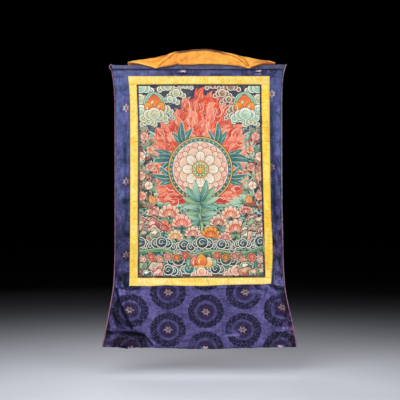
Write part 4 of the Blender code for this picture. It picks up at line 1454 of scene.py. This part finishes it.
YELLOW_SILK = yellow_finish()
OCHRED, IVORY, ORANGE_SPOT = (0.9, 0.76, 0.45), (1.0, 1.03, 1.6), (0.98, 0.76, 0.5)
# SILK_CREASE_SHADE is painted shade in a crease across the foot strip.
SILK_CREASE_SHADE = (0.62, 0.55, 0.4)

# Each strip's tint, its marks as on the brocade, and its creases, each a place along it and how deep it
# is. A crease is given painted shade along its line and painted highlight on its lips.
YELLOW_STRIPS = {
    "strip_top": {
        "base": (1.0, 1.02, 1.08),
        "marks": (
            (90, -62, 210, -68, 7, OCHRED, 0.5), (-220, -50, -60, -48, 6, IVORY, 0.5),
            (-247, -80, -200, -78, 6, IVORY, 0.5), (10, -56, 40, -60, 5, OCHRED, 0.4),
            (-150, -64, -120, -60, 4, ORANGE_SPOT, 0.4), (230, -58, 262, -62, 8, OCHRED, 0.7),
        ),
        "creases": ((-60, 1.4), (34, 1.0), (140, 1.6), (236, 1.2)),
    },
    "strip_foot": {
        "base": (1.1, 1.1, 1.2),
        "marks": (
            (-60, -822, 60, -824, 6, OCHRED, 0.7), (100, -826, 230, -826, 8, IVORY, 0.7),
            (-220, -824, -120, -826, 7, IVORY, 0.7), (34, -812, 40, -836, 4, SILK_CREASE_SHADE, 0.4),
            (-14, -816, 10, -816, 4, ORANGE_SPOT, 0.6), (210, -816, 240, -820, 6, OCHRED, 0.5),
        ),
        "creases": ((-210, 1.2), (-100, 1.0), (38, 1.8), (120, 1.0)),
    },
    "strip_left": {
        "base": (1.03, 1.04, 0.92),
        "marks": (
            (-247, -100, -245, -260, 7, IVORY, 0.35), (-244, -150, -243, -200, 5, ORANGE_SPOT, 0.35),
            (-243, -290, -242, -330, 8, OCHRED, 0.7), (-240, -360, -240, -470, 5, ORANGE_SPOT, 0.45),
            (-246, -470, -244, -500, 6, IVORY, 0.7), (-243, -540, -242, -600, 6, OCHRED, 0.5),
            (-246, -690, -243, -760, 10, OCHRED, 0.9), (-246, -780, -243, -800, 6, ORANGE_SPOT, 0.7),
        ),
        "creases": (
            (-282, 1.6), (-296, 1.2), (-524, 1.4), (-548, 1.5), (-720, 1.6), (-748, 1.4), (-771, 1.5),
            (-640, 0.8), (-180, 0.8),
        ),
    },
    "strip_right": {
        "base": (1.06, 1.01, 0.62),
        "marks": (
            (264, -110, 265, -200, 8, IVORY, 0.3), (263, -225, 266, -290, 12, OCHRED, 0.8),
            (264, -350, 266, -420, 9, (1.1, 1.08, 1.2), 0.6), (262, -560, 266, -600, 11, ORANGE_SPOT, 0.75),
            (268, -640, 268, -700, 9, OCHRED, 0.6), (268, -730, 269, -772, 11, OCHRED, 0.8),
            (270, -778, 270, -806, 10, IVORY, 0.9),
        ),
        "creases": (
            (-240, 2.2), (-262, 1.2), (-292, 2.4), (-306, 1.0), (-412, 1.0), (-474, 1.2), (-566, 1.6),
            (-582, 1.5), (-668, 1.4), (-704, 1.2), (-776, 1.6),
        ),
    },
}

# How far the foot strip's lower and upper edges sag below a straight line at each place across.
STRIP_FOOT_SAGS = (
    (-243, 0.2), (-182, 3.2), (-122, 0.4), (-61, 3.3), (30, 5.0), (91, 2.6), (182, 2.7), (243, 3.8),
    (274, 2.2),
)
STRIP_TOP_SAGS = ((-212, 3.6), (-100, 2.8), (-30, 0.4), (30, 0.4), (100, 1.5), (180, 2.7), (245, 4.0))

for seed, (name, strip) in enumerate(YELLOW_STRIPS.items()):
    edges = outline(name, STRIP_UNEVEN)
    x, z, near = panel_places(edges, STRIP_STEP)
    if name == "strip_foot":
        up = near["foot"] / (near["foot"] + near["top"])
        foot_sag, top_sag = (np.interp(x, *np.array(sags).T) for sags in (STRIP_FOOT_SAGS, STRIP_TOP_SAGS))
        z = z - foot_sag * (1 - up) - top_sag * up
    elif name != "strip_top":
        z = z - SIDES_RUN_ON * np.exp(-near["foot"] / RUN_ON_REACH)
    level = name in ("strip_top", "strip_foot")
    long_edges = ("foot", "top") if level else ("left", "right")
    run = x if level else z
    from_long_edge = np.minimum(near[long_edges[0]], near[long_edges[1]])
    plump = STRIP_PLUMP * (1 - np.exp(-from_long_edge / 4))
    under = sum(FOLDED_EDGE * bell(near[edge], 0.9) for edge in near)
    stitched = 0.45 * bell(from_long_edge - STITCH_INSET, 1.1)
    pull = np.sin(2 * np.pi * run / 11 + 1.9 * crumple(run, 0 * run, 45, 20 + seed))
    ribs = 0.22 * (1 + pull) * (0.35 + np.exp(-from_long_edge / 8))
    silk_stains_and_shading = marked(x, z, strip["marks"], strip["base"])
    wander = 2.0 * crumple(z if level else x, 0 * x, 26, 80 + seed)
    crease = 0
    for at, deep in strip["creases"]:
        off = run - at + wander
        line, lip = bell(off, 1.5), bell(off - 3.6, 2.2) + bell(off + 3.6, 2.2)
        crease = crease + 0.6 * deep * line - 0.28 * deep * lip
        # Painted shade along each crease and painted highlight on its lips.
        tint_where(silk_stains_and_shading, line, 1 - 0.22 * deep * np.array([0.5, 0.8, 1.2]))
        tint_where(silk_stains_and_shading, lip, 1 + 0.04 * deep)
    y = hang(x, z) - STRIP_STANDS - plump + under + stitched + ribs + crease
    y = np.minimum(y + 0.25 * crumple(x, z, 22, 30 + seed), hang(x, z) - STRIP_CLEARS)
    # Painted shade along the folded long edges, where they roll under.
    edge_shade = 0.22 * bell(from_long_edge, 1.8) + 0.10 * bell(from_long_edge - 2.6, 1.4)
    tint_where(silk_stains_and_shading, edge_shade, (0.4, 0.2, -0.3))
    # Painted shade in the hollows of the puckers.
    tint_where(silk_stains_and_shading, (1 + pull) / 2, 0.94)
    cloth = np.stack([x, z] if level else [z, -x], -1)
    piece = add_cloth(name + "_silk", np.stack([x, y, z], -1), cloth, silk_stains_and_shading, [YELLOW_SILK], STRIP_THICK)
    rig.replaces(piece, name)
    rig.slot(piece, "yellow_silk")
    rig.sheet(piece, **cut_size(x, z), held="hung", rests_on=["painting", "brocade_top"])

# ---- The small stitches --------------------------------------------------------------------------
# The strips are held down by a row of small running stitches in yellow silk thread, set a little in from
# every folded edge. They were sewn by hand, so they vary in length and slant.

STITCH_PITCH, STITCH_LONG, STITCH_THICK, STITCH_PROUD = 5.2, 3.1, 0.55, 0.12


def stitch_shape(long, thick, sides=6):
    """One stitch as an arched bead along the first axis: rings of a small circle whose radius and height
    follow half a sine, closed by a point at each end. Returns its points and its faces."""
    share = np.array([0.12, 0.35, 0.65, 0.88])
    turn = np.linspace(0, 2 * np.pi, sides, endpoint=False)
    radius = thick / 2 * np.sin(np.pi * share) ** 0.5
    along = np.broadcast_to((share - 0.5)[:, None] * long, (4, sides))
    aside = radius[:, None] * np.cos(turn)
    proud = radius[:, None] * np.sin(turn) + (0.5 * thick * np.sin(np.pi * share))[:, None]
    tips = np.array([[-long / 2, 0, -0.1 * thick], [long / 2, 0, -0.1 * thick]])
    here = np.arange(sides)
    there = (here + 1) % sides
    ring = np.stack([here, there, there + sides, here + sides], 1)
    faces = [face for row in range(3) for face in row * sides + ring]
    faces += [(4 * sides, b, a) for a, b in zip(here, there)]
    faces += [(4 * sides + 1, 3 * sides + a, 3 * sides + b) for a, b in zip(here, there)]
    return np.r_[np.stack([along, aside, proud], -1).reshape(-1, 3), tips], faces


def add_stitches(name, places, ways, finish, long, thick, seed):
    """Many stitches in one mesh. Places are points on the front of the cloth, and ways the unit steps
    along it."""
    shape, faces = stitch_shape(long, thick)
    draw = np.random.default_rng(seed)
    count = len(places)
    stretch = draw.uniform(0.8, 1.15, count)[:, None, None]
    front = np.array([0, -1.0, 0])
    side = np.cross(front, ways)
    ways = ways + draw.normal(0, 0.07, count)[:, None] * side
    points = (
        places[:, None]
        + shape[None, :, 0, None] * stretch * ways[:, None]
        + shape[None, :, 1, None] * side[:, None]
        + shape[None, :, 2, None] * front
    )
    starts = np.arange(count) * len(shape)
    corners = [tuple(int(corner + start) for corner in face) for start in starts for face in faces]
    mesh = bpy.data.meshes.new(name)
    mesh.from_pydata(points.reshape(-1, 3) * MM, [], corners)
    return add_piece(name, mesh, [finish])


def edge_line(edges, name, inset, pitch):
    """Points a pitch apart along one edge of a flat piece, set in from it, and the unit step along the
    edge."""
    share = np.linspace(0, 1, 500)
    u = {"left": 0 * share, "right": 0 * share + 1}.get(name, share)
    v = {"foot": 0 * share, "top": 0 * share + 1}.get(name, share)
    x, z = between(edges, u, v)
    in_x, in_z = {"left": (1, 0), "right": (-1, 0), "foot": (0, 1), "top": (0, -1)}[name]
    x, z = x + in_x * inset, z + in_z * inset
    run = np.r_[0, np.cumsum(np.hypot(np.diff(x), np.diff(z)))]
    at = np.arange(pitch, run[-1] - pitch / 2, pitch)
    way = np.stack([np.interp(at, run, np.gradient(x)), 0 * at, np.interp(at, run, np.gradient(z))], 1)
    return np.interp(at, run, x), np.interp(at, run, z), way / np.linalg.norm(way, axis=1)[:, None]


def thread_finish(name, pale, deep, pitch):
    """Twisted thread: pale and deep bands that run round it askew, with a low ridge for each ply."""
    material, link, place = new_finish(name, Sheen_Weight=0.2, Roughness=0.55)
    x, y, z = place.split(0, 1, 2)
    ply = (x * 0.8 + y * 0.9 + z).ribs(pitch)
    fuzz = place.noise(900, 2)
    link(Base_Color=(ply * 0.5 + fuzz * 0.5).between(deep, pale), Normal=raised(ply + fuzz * 0.6, 0.08))
    return material


sewn_lines = []
for name in YELLOW_STRIPS:
    level = name in ("strip_top", "strip_foot")
    for edge in ("foot", "top") if level else ("left", "right"):
        sewn_lines.append(edge_line(outline(name, STRIP_UNEVEN), edge, STITCH_INSET, STITCH_PITCH))
x, z, ways = (np.concatenate(parts) for parts in zip(*sewn_lines))
places = np.stack([x, hang(x, z) - STRIP_STANDS + STITCH_PROUD, z], 1)
YELLOW_THREAD = thread_finish("yellow thread", dyed(246, 208, 104), dyed(206, 158, 60), 0.9)
stitches = add_stitches("strip_stitches", places, ways, YELLOW_THREAD, STITCH_LONG, STITCH_THICK, 40)
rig.slot(stitches, "yellow_silk")

# ---- The heading ---------------------------------------------------------------------------------
# The brocade's top edge is rolled round a thin stave and sewn down, which makes a stiff oval roll to hang
# it by. The roll's cloth is crossed by small wrinkles, and a row of indigo stitches runs under it along
# the seam.

HEADING_DEEP, HEADING_MIDDLE = 9, 1.0
HEADING_ROUND = 44


def add_tube(name, rings, finish, cloth=None):
    """A closed tube from rings of points, one row for each ring, with a fan of triangles to a point at
    each end. The rings turn so that the faces point outwards. Cloth gives its UV map where the pattern
    follows it."""
    count, around = rings.shape[:2]
    here = np.arange(around)
    there = (here + 1) % around
    base = np.arange(count - 1)[:, None] * around
    quads = np.stack([base + here, base + there, base + there + around, base + here + around], -1)
    first, final_ring = count * around, (count - 1) * around
    caps = [(first, int(b), int(a)) for a, b in zip(here, there)]
    caps += [(first + 1, int(a) + final_ring, int(b) + final_ring) for a, b in zip(here, there)]
    points = np.r_[rings.reshape(-1, 3), rings[0].mean(0)[None], rings[-1].mean(0)[None]]
    mesh = bpy.data.meshes.new(name)
    mesh.from_pydata(points * MM, [], [*map(tuple, quads.reshape(-1, 4).tolist()), *caps])
    if cloth is not None:
        flat = cloth.reshape(-1, 2)
        loops = np.empty(len(mesh.loops), np.int32)
        mesh.loops.foreach_get("vertex_index", loops)
        lay_cloth(mesh, np.r_[flat, flat[:1], flat[-1:]], loops)
    return add_piece(name, mesh, [finish])


edges = outline("heading", 5)
turn = np.linspace(0, 2 * np.pi, HEADING_ROUND, endpoint=False)
wide = edges[1](edges[4]) - edges[0](edges[4])
share, turn = np.meshgrid(spaced(wide, 2.4), turn, indexing="ij")
end = np.minimum(share, 1 - share) * wide
pinch = 1 - 0.35 * bell(end, 1.4)
x, z = between(edges, share, 0.5 + 0.5 * np.sin(turn) * pinch)
wrinkle = 0.22 * crumple(x, 6 * turn, 13, 50) + 0.3 * crumple(x, 3 * turn, 70, 51)
gather = 0.25 * np.sin(2 * np.pi * x / 9 + 2 * crumple(x, 0 * x, 40, 52)) * bell(np.sin(turn) + 1, 0.35)
out = HEADING_DEEP / 2 * pinch + wrinkle + gather - 0.35
y = HEADING_MIDDLE + out * np.sign(np.cos(turn)) * np.abs(np.cos(turn)) ** 0.8
z = z + 0.3 * wrinkle * np.sin(turn) - 2.6 * np.clip(np.sin(turn), 0, 1) * bell(x + 285, 60)
points, cloth = np.stack([x, y, z], -1), np.stack([x + 57, z + 28], -1)
heading = add_tube("heading_roll", points, HEADING_BROCADE, cloth)
# Painted shadow along the roll's foot and under the cover's front edge, a paler band along its top and a darker right
# end.
shade = marked(x, z, (
    (-336, -18.5, 336, -18.5, 2.4, (0.36, 0.35, 0.46), 1), (200, -8, 340, -8, 14, (0.6, 0.66, 0.66), 0.8),
    (-336, -6, 336, -6, 4, (1.12, 1.04, 0.94), 0.6), (-184, -11, -150, -19, 3, (0.8, 0.4, 0.42), 0.9),
    (-150, -17, -84, -7, 3, (0.5, 0.42, 0.44), 0.8), (-60, -8, 150, -8, 3, (0.72, 0.56, 0.56), 0.8),
), (1.22, 1.16, 0.94))
shade[..., 3] = 0.1
add_wear_and_shading(heading.data, shade.reshape(-1, 4))
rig.replaces(heading, "heading")
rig.slot(heading, "indigo_brocade")

INDIGO_THREAD = thread_finish("indigo thread", dyed(84, 80, 120), dyed(44, 42, 74), 0.9)
x, z, ways = edge_line(outline("brocade_top", 5), "top", 1.6, 6.2)
under_roll = add_stitches(
    "heading_stitches", np.stack([x, hang(x, z) + 0.35, z], 1), ways, INDIGO_THREAD, 3.6, 0.6, 41
)
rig.slot(under_roll, "indigo_brocade")

# ---- The pipings ---------------------------------------------------------------------------------
# Each side is bound with a thin cord covered in a faded mauve-pink strip of silk, wound round it on the
# slant and whipped to the brocade. The left one's upper end has come loose and curls over the heading's
# corner.

PIPING_ACROSS, PIPING_START, PIPING_FOOT = 3.6, -22, -1073
PIPING_STEP, PIPING_SIDES, WRAP_PITCH = 1.4, 12, 6.5
PIPING_ENDS = {
    "left": ((-326, -0.6), (-331, -0.4), (-335.4, -4), (-336.2, -10.5), (-333.8, -17)),
    "right": ((335.5, 1.5), (332.5, -8)),
}


def rings_along(line, radius, turn):
    """Rings across a line of points: each stands square to the line, and its angle starts from the
    front."""
    step = np.gradient(line, axis=0)
    step /= np.linalg.norm(step, axis=1)[:, None]
    aside = np.cross(step, (0, -1.0, 0))
    aside /= np.linalg.norm(aside, axis=1)[:, None]
    front = np.cross(aside, step)
    round_front, round_aside = (radius * np.cos(turn))[..., None], (radius * np.sin(turn))[..., None]
    return line[:, None] + front[:, None] * round_front + aside[:, None] * round_aside


def piping_finish(side, deep, pale):
    """Faded mauve silk wound on the slant: each turn has painted shade where it tucks under the next, and
    is rubbed pale on its crown."""
    material, link, place = new_finish(f"mauve piping, {side}", Sheen_Weight=0.2, Specular_IOR_Level=0.3)
    rubbed = place.noise(60, 3, 0.6)
    weave = place.noise(1300, 2)
    colour = rubbed.over(0.5, 0.3).between(deep, pale).times(place.attribute("wear"))
    height = weave * 0.5 + rubbed * 0.5
    link(Base_Color=colour, Roughness=0.55 + rubbed * 0.25, Normal=raised(height, 0.12))
    return material


MAUVE_PIPING = {
    "left": piping_finish("left", dyed(128, 76, 118), dyed(176, 124, 156)),
    "right": piping_finish("right", dyed(118, 96, 126), dyed(182, 160, 180)),
}
for side, ends in PIPING_ENDS.items():
    left, right, *_ = outline("piping_" + side, 30)
    heights = np.linspace(PIPING_START, PIPING_FOOT, 46)
    run = [*ends, *zip((left(heights) + right(heights)) / 2, heights)]
    line, at = smooth_line(run, PIPING_STEP)
    line = np.stack([line[:, 0], hang(line[:, 0], line[:, 1]) + 1.0, line[:, 1]], 1)
    turn = np.linspace(0, 2 * np.pi, PIPING_SIDES, endpoint=False)
    wound = at[:, None] * 2 * np.pi / WRAP_PITCH + turn
    lap = (wound / (2 * np.pi)) % 1
    radius = PIPING_ACROSS / 2 * (0.92 + 0.10 * lap ** 0.6 + 0.03 * crumple(at, 0 * at, 25, 60)[:, None])
    radius = radius * np.minimum(1, 0.35 + np.minimum(at, at[-1] - at) / 1.6)[:, None]
    rings = rings_along(line, radius, np.broadcast_to(turn, radius.shape))
    piping = add_tube(f"piping_{side}_cord", rings, MAUVE_PIPING[side])
    # Painted shade where each turn of the wrap tucks under the next.
    tucked = 1 - 0.45 * bell(np.minimum(lap, 1 - lap), 0.09)
    soiled = 1 - 0.22 * np.clip(crumple(at, 0 * at, 160, 61), 0, 2)[:, None]
    redder = np.clip((-560 - line[:, 2]) / 160, 0, 1)[:, None, None] * (side == "right")
    add_wear_and_shading(piping.data, ((tucked * soiled)[..., None] * (1 - redder * (0.1, 0.42, 0.2))).reshape(-1, 3))
    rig.replaces(piping, "piping_" + side)
    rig.slot(piping, "mauve_piping")

# ---- The cover -----------------------------------------------------------------------------------
# A veil of thin orange silk guards the painting. It is sewn along the top of the heading, and here it is
# thrown back: it rises off the heading in a soft roll, pinched down to a point at each side, and hangs
# down behind.

# How high the front fold lies and how high the crest stands at each place across the scroll.
COVER_ACROSS = (
    (-266, 3.0, 7), (-252, 6.0, 12), (-229, 3.4, 16), (-199, -5.1, 20), (-176, -11.0, 23.5),
    (-158, -15.6, 27), (-144, -10.6, 31), (-118, -7.5, 36), (-101, -5.0, 43), (-84, -0.5, 48),
    (-50, -1.8, 52), (-20, -1.4, 56), (6, 0.8, 57.6), (40, 0.6, 57.8), (68, 0.0, 53), (97, -0.8, 47),
    (134, -3.9, 39), (155, -6.6, 33.5), (174, -10.2, 29), (194, -15.6, 26), (209, -9.6, 22.5),
    (238, -0.8, 16.5), (257, 4.6, 14.5), (274, 6.2, 13), (293, 2.2, 5),
)
# The rows that it rises through: each stands above the front fold by its share of the rise and a little
# more.
COVER_RISE = (
    (-9.0, 0.0, 0.0), (-11.8, 0.0, 2.0), (-11.6, 0.2, 1.5), (-9.0, 0.5, 1.0),
    (-4.5, 0.8, 0.5), (1.0, 1.0, 0.0), (6.5, 0.8, 0.0), (9.6, 0.4, 0.0),
)
COVER_SEWN = ((1.5, 1.3), (-3.5, 1.3))
COVER_TURN, COVER_TURN_DROP = -6.6, 0.6
COVER_DROP = ((10.4, -8), (10.2, -30))
COVER_HEM, COVER_THICK = -800, 0.9
COVER_BEHIND = 5.6
# Its folds: points along each, half its width, how far back the silk goes there and its tint, painted
# shade in the hollows and painted highlight on the ridges.
FOLD_SHADE, PALE_FOLD_HIGHLIGHT, FOLD_HIGHLIGHT = (0.6, 0.42, 0.3), (1.12, 1.2, 1.7), (1.2, 1.3, 1.5)
COVER_FOLDS = (
    (((-157, -10), (-140, 8), (-118, 28), (-100, 40), (-84, 47)), 5.5, -5.0, FOLD_HIGHLIGHT),
    (((-108, 38), (-96, 43), (-80, 47)), 3.5, -1.0, PALE_FOLD_HIGHLIGHT),
    (((-146, -6), (-128, 10), (-112, 22), (-98, 34)), 3.0, 3.4, (0.72, 0.54, 0.42)),
    (((-170, 8), (-146, 20), (-122, 32)), 6.0, 3.0, (0.9, 0.72, 0.55)),
    (((-176, 23), (-140, 30), (-116, 35)), 2.6, 1.0, (0.55, 0.3, 0.3)),
    (((-252, 8), (-226, 5), (-196, -3), (-164, -13)), 3.6, -2.2, (1.15, 1.5, 2.3)),
    (((-262, 3), (-226, 0), (-190, -8), (-164, -15)), 2.2, 1.4, (0.6, 0.35, 0.3)),
    (((-150, -14), (-112, -8), (-76, 0)), 2.6, 1.6, (0.5, 0.33, 0.3)),
    (((-84, 22), (-80, 34)), 3.6, 2.2, (0.82, 0.62, 0.4)),
    (((-64, 12), (-48, 22), (-40, 20)), 3.6, 2.4, (0.82, 0.62, 0.4)),
    (((-92, 4), (-76, 6)), 3.4, 1.6, (0.86, 0.66, 0.4)),
    (((66, 52), (98, 45), (132, 37), (152, 32)), 3.0, -1.6, PALE_FOLD_HIGHLIGHT),
    (((90, 42), (128, 33), (155, 21), (178, 2), (191, -9)), 3.0, 3.6, FOLD_SHADE),
    (((124, 27), (150, 15), (172, -3)), 5.0, -3.4, FOLD_HIGHLIGHT),
    (((155, 31), (170, 25), (184, 11), (193, -6)), 2.8, 3.6, (0.46, 0.28, 0.2)),
    (((150, 27), (166, 18), (180, 4)), 2.4, -1.2, FOLD_HIGHLIGHT),
    (((196, -6), (206, 8), (224, 14)), 6.0, -2.6, (1.04, 1.12, 1.2)),
    (((214, 8), (238, 9), (262, 8)), 4.5, 1.6, (0.72, 0.55, 0.45)),
    (((240, 15), (262, 13.5), (280, 10), (293, 4)), 2.2, -0.8, (1.1, 1.25, 1.9)),
    (((200, -12), (222, -5), (246, 3)), 2.2, 1.4, (0.5, 0.33, 0.3)),
    (((-40, 4), (20, 5), (80, 5), (140, 1)), 4.0, -0.9, (1.03, 1.1, 1.25)),
    (((-10, 30), (-6, 50)), 3.0, 0.8, (0.94, 0.86, 0.8)),
    (((52, 24), (64, 44)), 3.0, 0.7, (0.95, 0.88, 0.8)),
)

# The folds of its drop behind: where across each starts and ends, and how far it stands out.
COVER_HANGS = (
    (-262, -250, 2.4), (-162, -206, 3.6), (-158, -140, 3.0), (-152, -70, 2.4), (-40, -16, 1.6),
    (60, 50, 1.8), (188, 112, 2.6), (194, 176, 3.4), (198, 232, 2.8), (286, 268, 2.2),
)


def curve_through(places, values):
    """A smooth curve through values at rising places. The slope at a place is that between its
    neighbours."""
    places, values = np.array(places, float), np.array(values, float)
    number = np.arange(len(places))
    before, after = np.maximum(number - 1, 0), np.minimum(number + 1, len(places) - 1)
    slopes = (values[after] - values[before]) / (places[after] - places[before])

    def at(place):
        i = np.clip(np.searchsorted(places, place, side="right") - 1, 0, len(places) - 2)
        span = places[i + 1] - places[i]
        share = (place - places[i]) / span
        return cubic(values[i], values[i + 1], slopes[i] * span, slopes[i + 1] * span, share)

    return at


def cover_points(x, row, over_rows, hang_rows):
    """The cover's y and z at each x and row. Its first rows run through the sewn end, the front fold, the
    rise to the crest and the drop behind, on a smooth curve through those points, and the rest hang down
    straight."""
    across = np.array(COVER_ACROSS).T
    fold, crest = (curve_through(across[0], heights)(x) for heights in across[1:])
    seam = COVER_SEWN[0][1]
    turn = np.minimum(seam - COVER_TURN_DROP, (seam + fold) / 2)
    stops = [(y + 0 * x, z + 0 * x) for y, z in COVER_SEWN]
    stops += [(COVER_TURN + 0 * x, turn)]
    stops += [(y + 0 * x, fold + share * (crest - fold) + more) for y, share, more in COVER_RISE]
    stops += [(y + 0 * x, z + 0 * x) for y, z in COVER_DROP]
    stops = np.array(stops)
    slopes = np.gradient(stops, axis=0)
    place = np.minimum(row / over_rows, 1) * (len(stops) - 1)
    i = np.minimum(place.astype(int), len(stops) - 2)
    rows, columns = np.indices(x.shape)
    y, z = (
        cubic(*(part[at, axis, rows, columns] for part in (stops, slopes) for at in (i, i + 1)), place - i)
        for axis in (0, 1)
    )
    down = np.maximum(row - over_rows, 0) / hang_rows
    z = z + (COVER_HEM - COVER_DROP[-1][1]) * down
    ease = np.exp(-8 * down)
    behind = hang(x, z) + COVER_BEHIND
    return np.where(row > over_rows, y * ease + behind * (1 - ease), y), z


def cover_finish():
    """Thin slubbed silk: a warm body, paler along its slubs and creases, and deeper where it is grimy."""
    material, link, place = new_finish(
        "orange silk", Sheen_Weight=0.25, Sheen_Roughness=0.35, Specular_IOR_Level=0.4
    )
    cloth = place.cloth()
    slubs, warp = cloth.streaks(25, 700, 3), cloth.streaks(500, 14)
    cloud = place.noise(16, 3, 0.6)
    grime = place.noise(55, 4, 0.65)
    colour = (cloud * 0.7 + slubs * 0.3).over(0.5, 0.3).between(dyed(232, 140, 30), dyed(246, 172, 56))
    colour = (warp.over(0.56, 0.2) * 0.35).between(colour, dyed(252, 190, 80))
    colour = (grime.over(0.62, 0.1) * 0.3).between(colour, dyed(196, 100, 20))
    colour = colour.times(place.attribute("wear"))
    height = slubs * 0.7 + warp * 0.5 + cloth.split(1)[0].ribs(0.45) * 0.2 + grime * 0.3
    link(Base_Color=colour, Roughness=0.42 + grime * 0.2, Normal=raised(height, 0.14, 0.8))
    return material


OVER_ROWS, HANG_ROWS, COVER_COLUMNS = 62, 118, 205
SIDE_HEM, FOOT_HEM, HEM_STANDS = 8, 15, 0.5
start, end = COVER_ACROSS[0][0], COVER_ACROSS[-1][0]
falling = OVER_ROWS + HANG_ROWS * (1 - np.linspace(0, 1, HANG_ROWS + 1) ** 1.3)
rows = np.r_[falling, np.arange(OVER_ROWS - 1, -1, -1.0)]
x, row = np.meshgrid(np.linspace(start, end, COVER_COLUMNS), rows)
y, z = cover_points(x, row, OVER_ROWS, HANG_ROWS)
over = row < OVER_ROWS
front = np.clip((5 - y) / 6, 0, 1) * over
down = np.maximum(row - OVER_ROWS, 0) / HANG_ROWS

# Its colour: painted shade along the rim of the crest, and along the front fold a painted shadow on
# its underside and a painted highlight on its edge.
lip, crest = (curve_through(*np.array(COVER_ACROSS).T[[0, height]])(x) for height in (1, 2))
wing = np.clip((np.abs(x - 18) - 160) / 24, 0, 1)
top_rim = np.clip((z - crest + 10) / 5, 0, 1) * np.clip((112 - np.abs(x - 6)) / 34, 0, 1) * over
tint = np.ones((*x.shape, 4))
tint_where(tint, top_rim, (0.12, 0.07, 0.12))
tint_where(tint, np.clip((lip + 0.8 - z) / 1.4, 0, 1) * front, (0.6, 0.4, 0.38))
tint_where(tint, bell(z - lip - 2.4, 1.7) * front * wing, (1.12, 1.3, 1.8))
tint_where(tint, np.clip((x - 205) / 60, 0, 1), (0.79, 0.65, 0.65))

# Its folds over the heading, with their painted shade and highlight, and its crumple, pleats and hems
# behind.
ridges = 0
for points, half_width, back, colour in COVER_FOLDS:
    line = line_share(points, half_width, x, z) * front
    ridges = ridges + back * line
    tint_where(tint, line, colour)
silk_crumple = 0.5 * crumple(x, 4 * row, 30, 70) + 0.22 * crumple(x, 3 * row, 11, 71)
silk_crumple = silk_crumple * np.clip(row / 12, 0, 1) * over
pleats = 0
for begin, finish, deep in COVER_HANGS:
    pleats = pleats + deep * bell(x - begin - (finish - begin) * down**0.8, 6 + 15 * down)
limp = 0.9 * crumple(x, 0.12 * z, 70, 72) + 0.5 * crumple(x, 0.3 * z, 26, 73)
limp = limp + 0.3 * crumple(x, z, 22, 74) + 2.6
settled = 1 - np.exp(-6 * down)
from_side, from_hem = np.minimum(x - start, end - x), (1 - down) * (COVER_DROP[-1][1] - COVER_HEM)
hems = np.maximum(bell(from_side - SIDE_HEM, 2.6), bell(from_hem - FOOT_HEM, 2.8)) * settled
# The drop behind is made darker, with painted highlight on its pleats and darker hem lines, and the crumple is given
# painted shade and highlight.
tint[..., :3] *= (1 - settled * (0.2 - 0.09 * pleats) - 0.22 * hems)[..., None]
tint[..., :3] *= 0.97 + 0.11 * silk_crumple[..., None]
y = y + ridges + silk_crumple + (limp + pleats) * settled - HEM_STANDS * hems
z = z + 0.5 * silk_crumple * np.clip(z / 20, 0, 1)
z = z - (3.0 * crumple(x, 0 * x, 150, 75) + 0.8 * pleats) * down**8
run = np.r_[np.zeros((1, COVER_COLUMNS)), np.hypot(np.diff(y, axis=0), np.diff(z, axis=0))].cumsum(0)
points, cloth = np.stack([x, y - COVER_THICK / 2, z], -1), np.stack([x, run], -1)
cover = add_cloth("cover_silk", points, cloth, tint, [cover_finish()], COVER_THICK)
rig.replaces(cover, "cover")
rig.slot(cover, "orange_silk")
cut_long = run[-1].mean()
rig.sheet(cover, flat=((end - start) * MM, cut_long * MM), held="draped", rests_on=["heading_roll"])

# ---- The stage -----------------------------------------------------------------------------------
# A floor painted with a pool of light, pale in front of the scroll and falling away into the dark behind
# it, and soft lamps: a broad one in front and to the left, a weaker one to the right, one above, and two
# behind for the other views.

FLOOR_DROP, FLOOR_ACROSS, PALEST_IN_FRONT = 1.178, 60, 0.5
CAMERA_AT, CAMERA_LENS = (0.0076, -4.0, -0.515), 94.7

floor_mesh = bpy.data.meshes.new("floor")
half = FLOOR_ACROSS / 2
corners = [(x, y, -FLOOR_DROP) for x, y in ((-half, -half), (half, -half), (half, half), (-half, half))]
floor_mesh.from_pydata(corners, [], [(0, 1, 2, 3)])
floor = bpy.data.objects.new("floor", floor_mesh)
bpy.context.scene.collection.objects.link(floor)
floor_light_pool, link, place = new_finish("floor paint", Roughness=0.9, Specular_IOR_Level=0.0)
across, away = place.split(0, 1)
# Painted light: the floor is palest a little in front of the scroll and darkens to near black away from it.
out = across.radius(away + PALEST_IN_FRONT)
fall = out * out * -0.42
link(Base_Color=fall.maths("EXPONENT", fall).between((0.008, 0.008, 0.009, 1), dyed(231, 235, 246)))
floor_mesh.materials.append(floor_light_pool)
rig.stage(floor)

LAMPS = {
    "front": ((-1.5, -3.0, 0.9), 2.6, 112),
    "side": ((2.3, -2.4, -0.2), 2.0, 36),
    "top": ((0.2, -0.6, 2.2), 1.6, 24),
    "back": ((-1.4, 3.0, 0.8), 2.4, 54),
    "back side": ((2.2, 2.4, 0.2), 1.8, 24),
}
for name, (at, size, power) in LAMPS.items():
    light = bpy.data.lights.new(name, "AREA")
    light.size, light.energy = size, power
    lamp = bpy.data.objects.new(name, light)
    lamp.location = at
    lamp.rotation_euler = (Vector((0, 0, -0.5)) - lamp.location).to_track_quat("-Z", "Y").to_euler()
    lamp.visible_camera = False
    bpy.context.scene.collection.objects.link(lamp)

world = bpy.data.worlds.new("dim room")
world.use_nodes = True
world.node_tree.nodes["Background"].inputs["Color"].default_value = (0, 0, 0, 1)
bpy.context.scene.world = world
bpy.context.scene.view_settings.view_transform = "Standard"

camera = bpy.data.objects.new("camera", bpy.data.cameras.new("camera"))
camera.location = CAMERA_AT
camera.rotation_euler = (np.pi / 2, 0, 0)
camera.data.lens = CAMERA_LENS
bpy.context.scene.collection.objects.link(camera)
bpy.context.scene.camera = camera

with open("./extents.json", "w") as file:
    json.dump({"cad": cad_box, "visual": [list(corner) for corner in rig.bounds()]}, file)
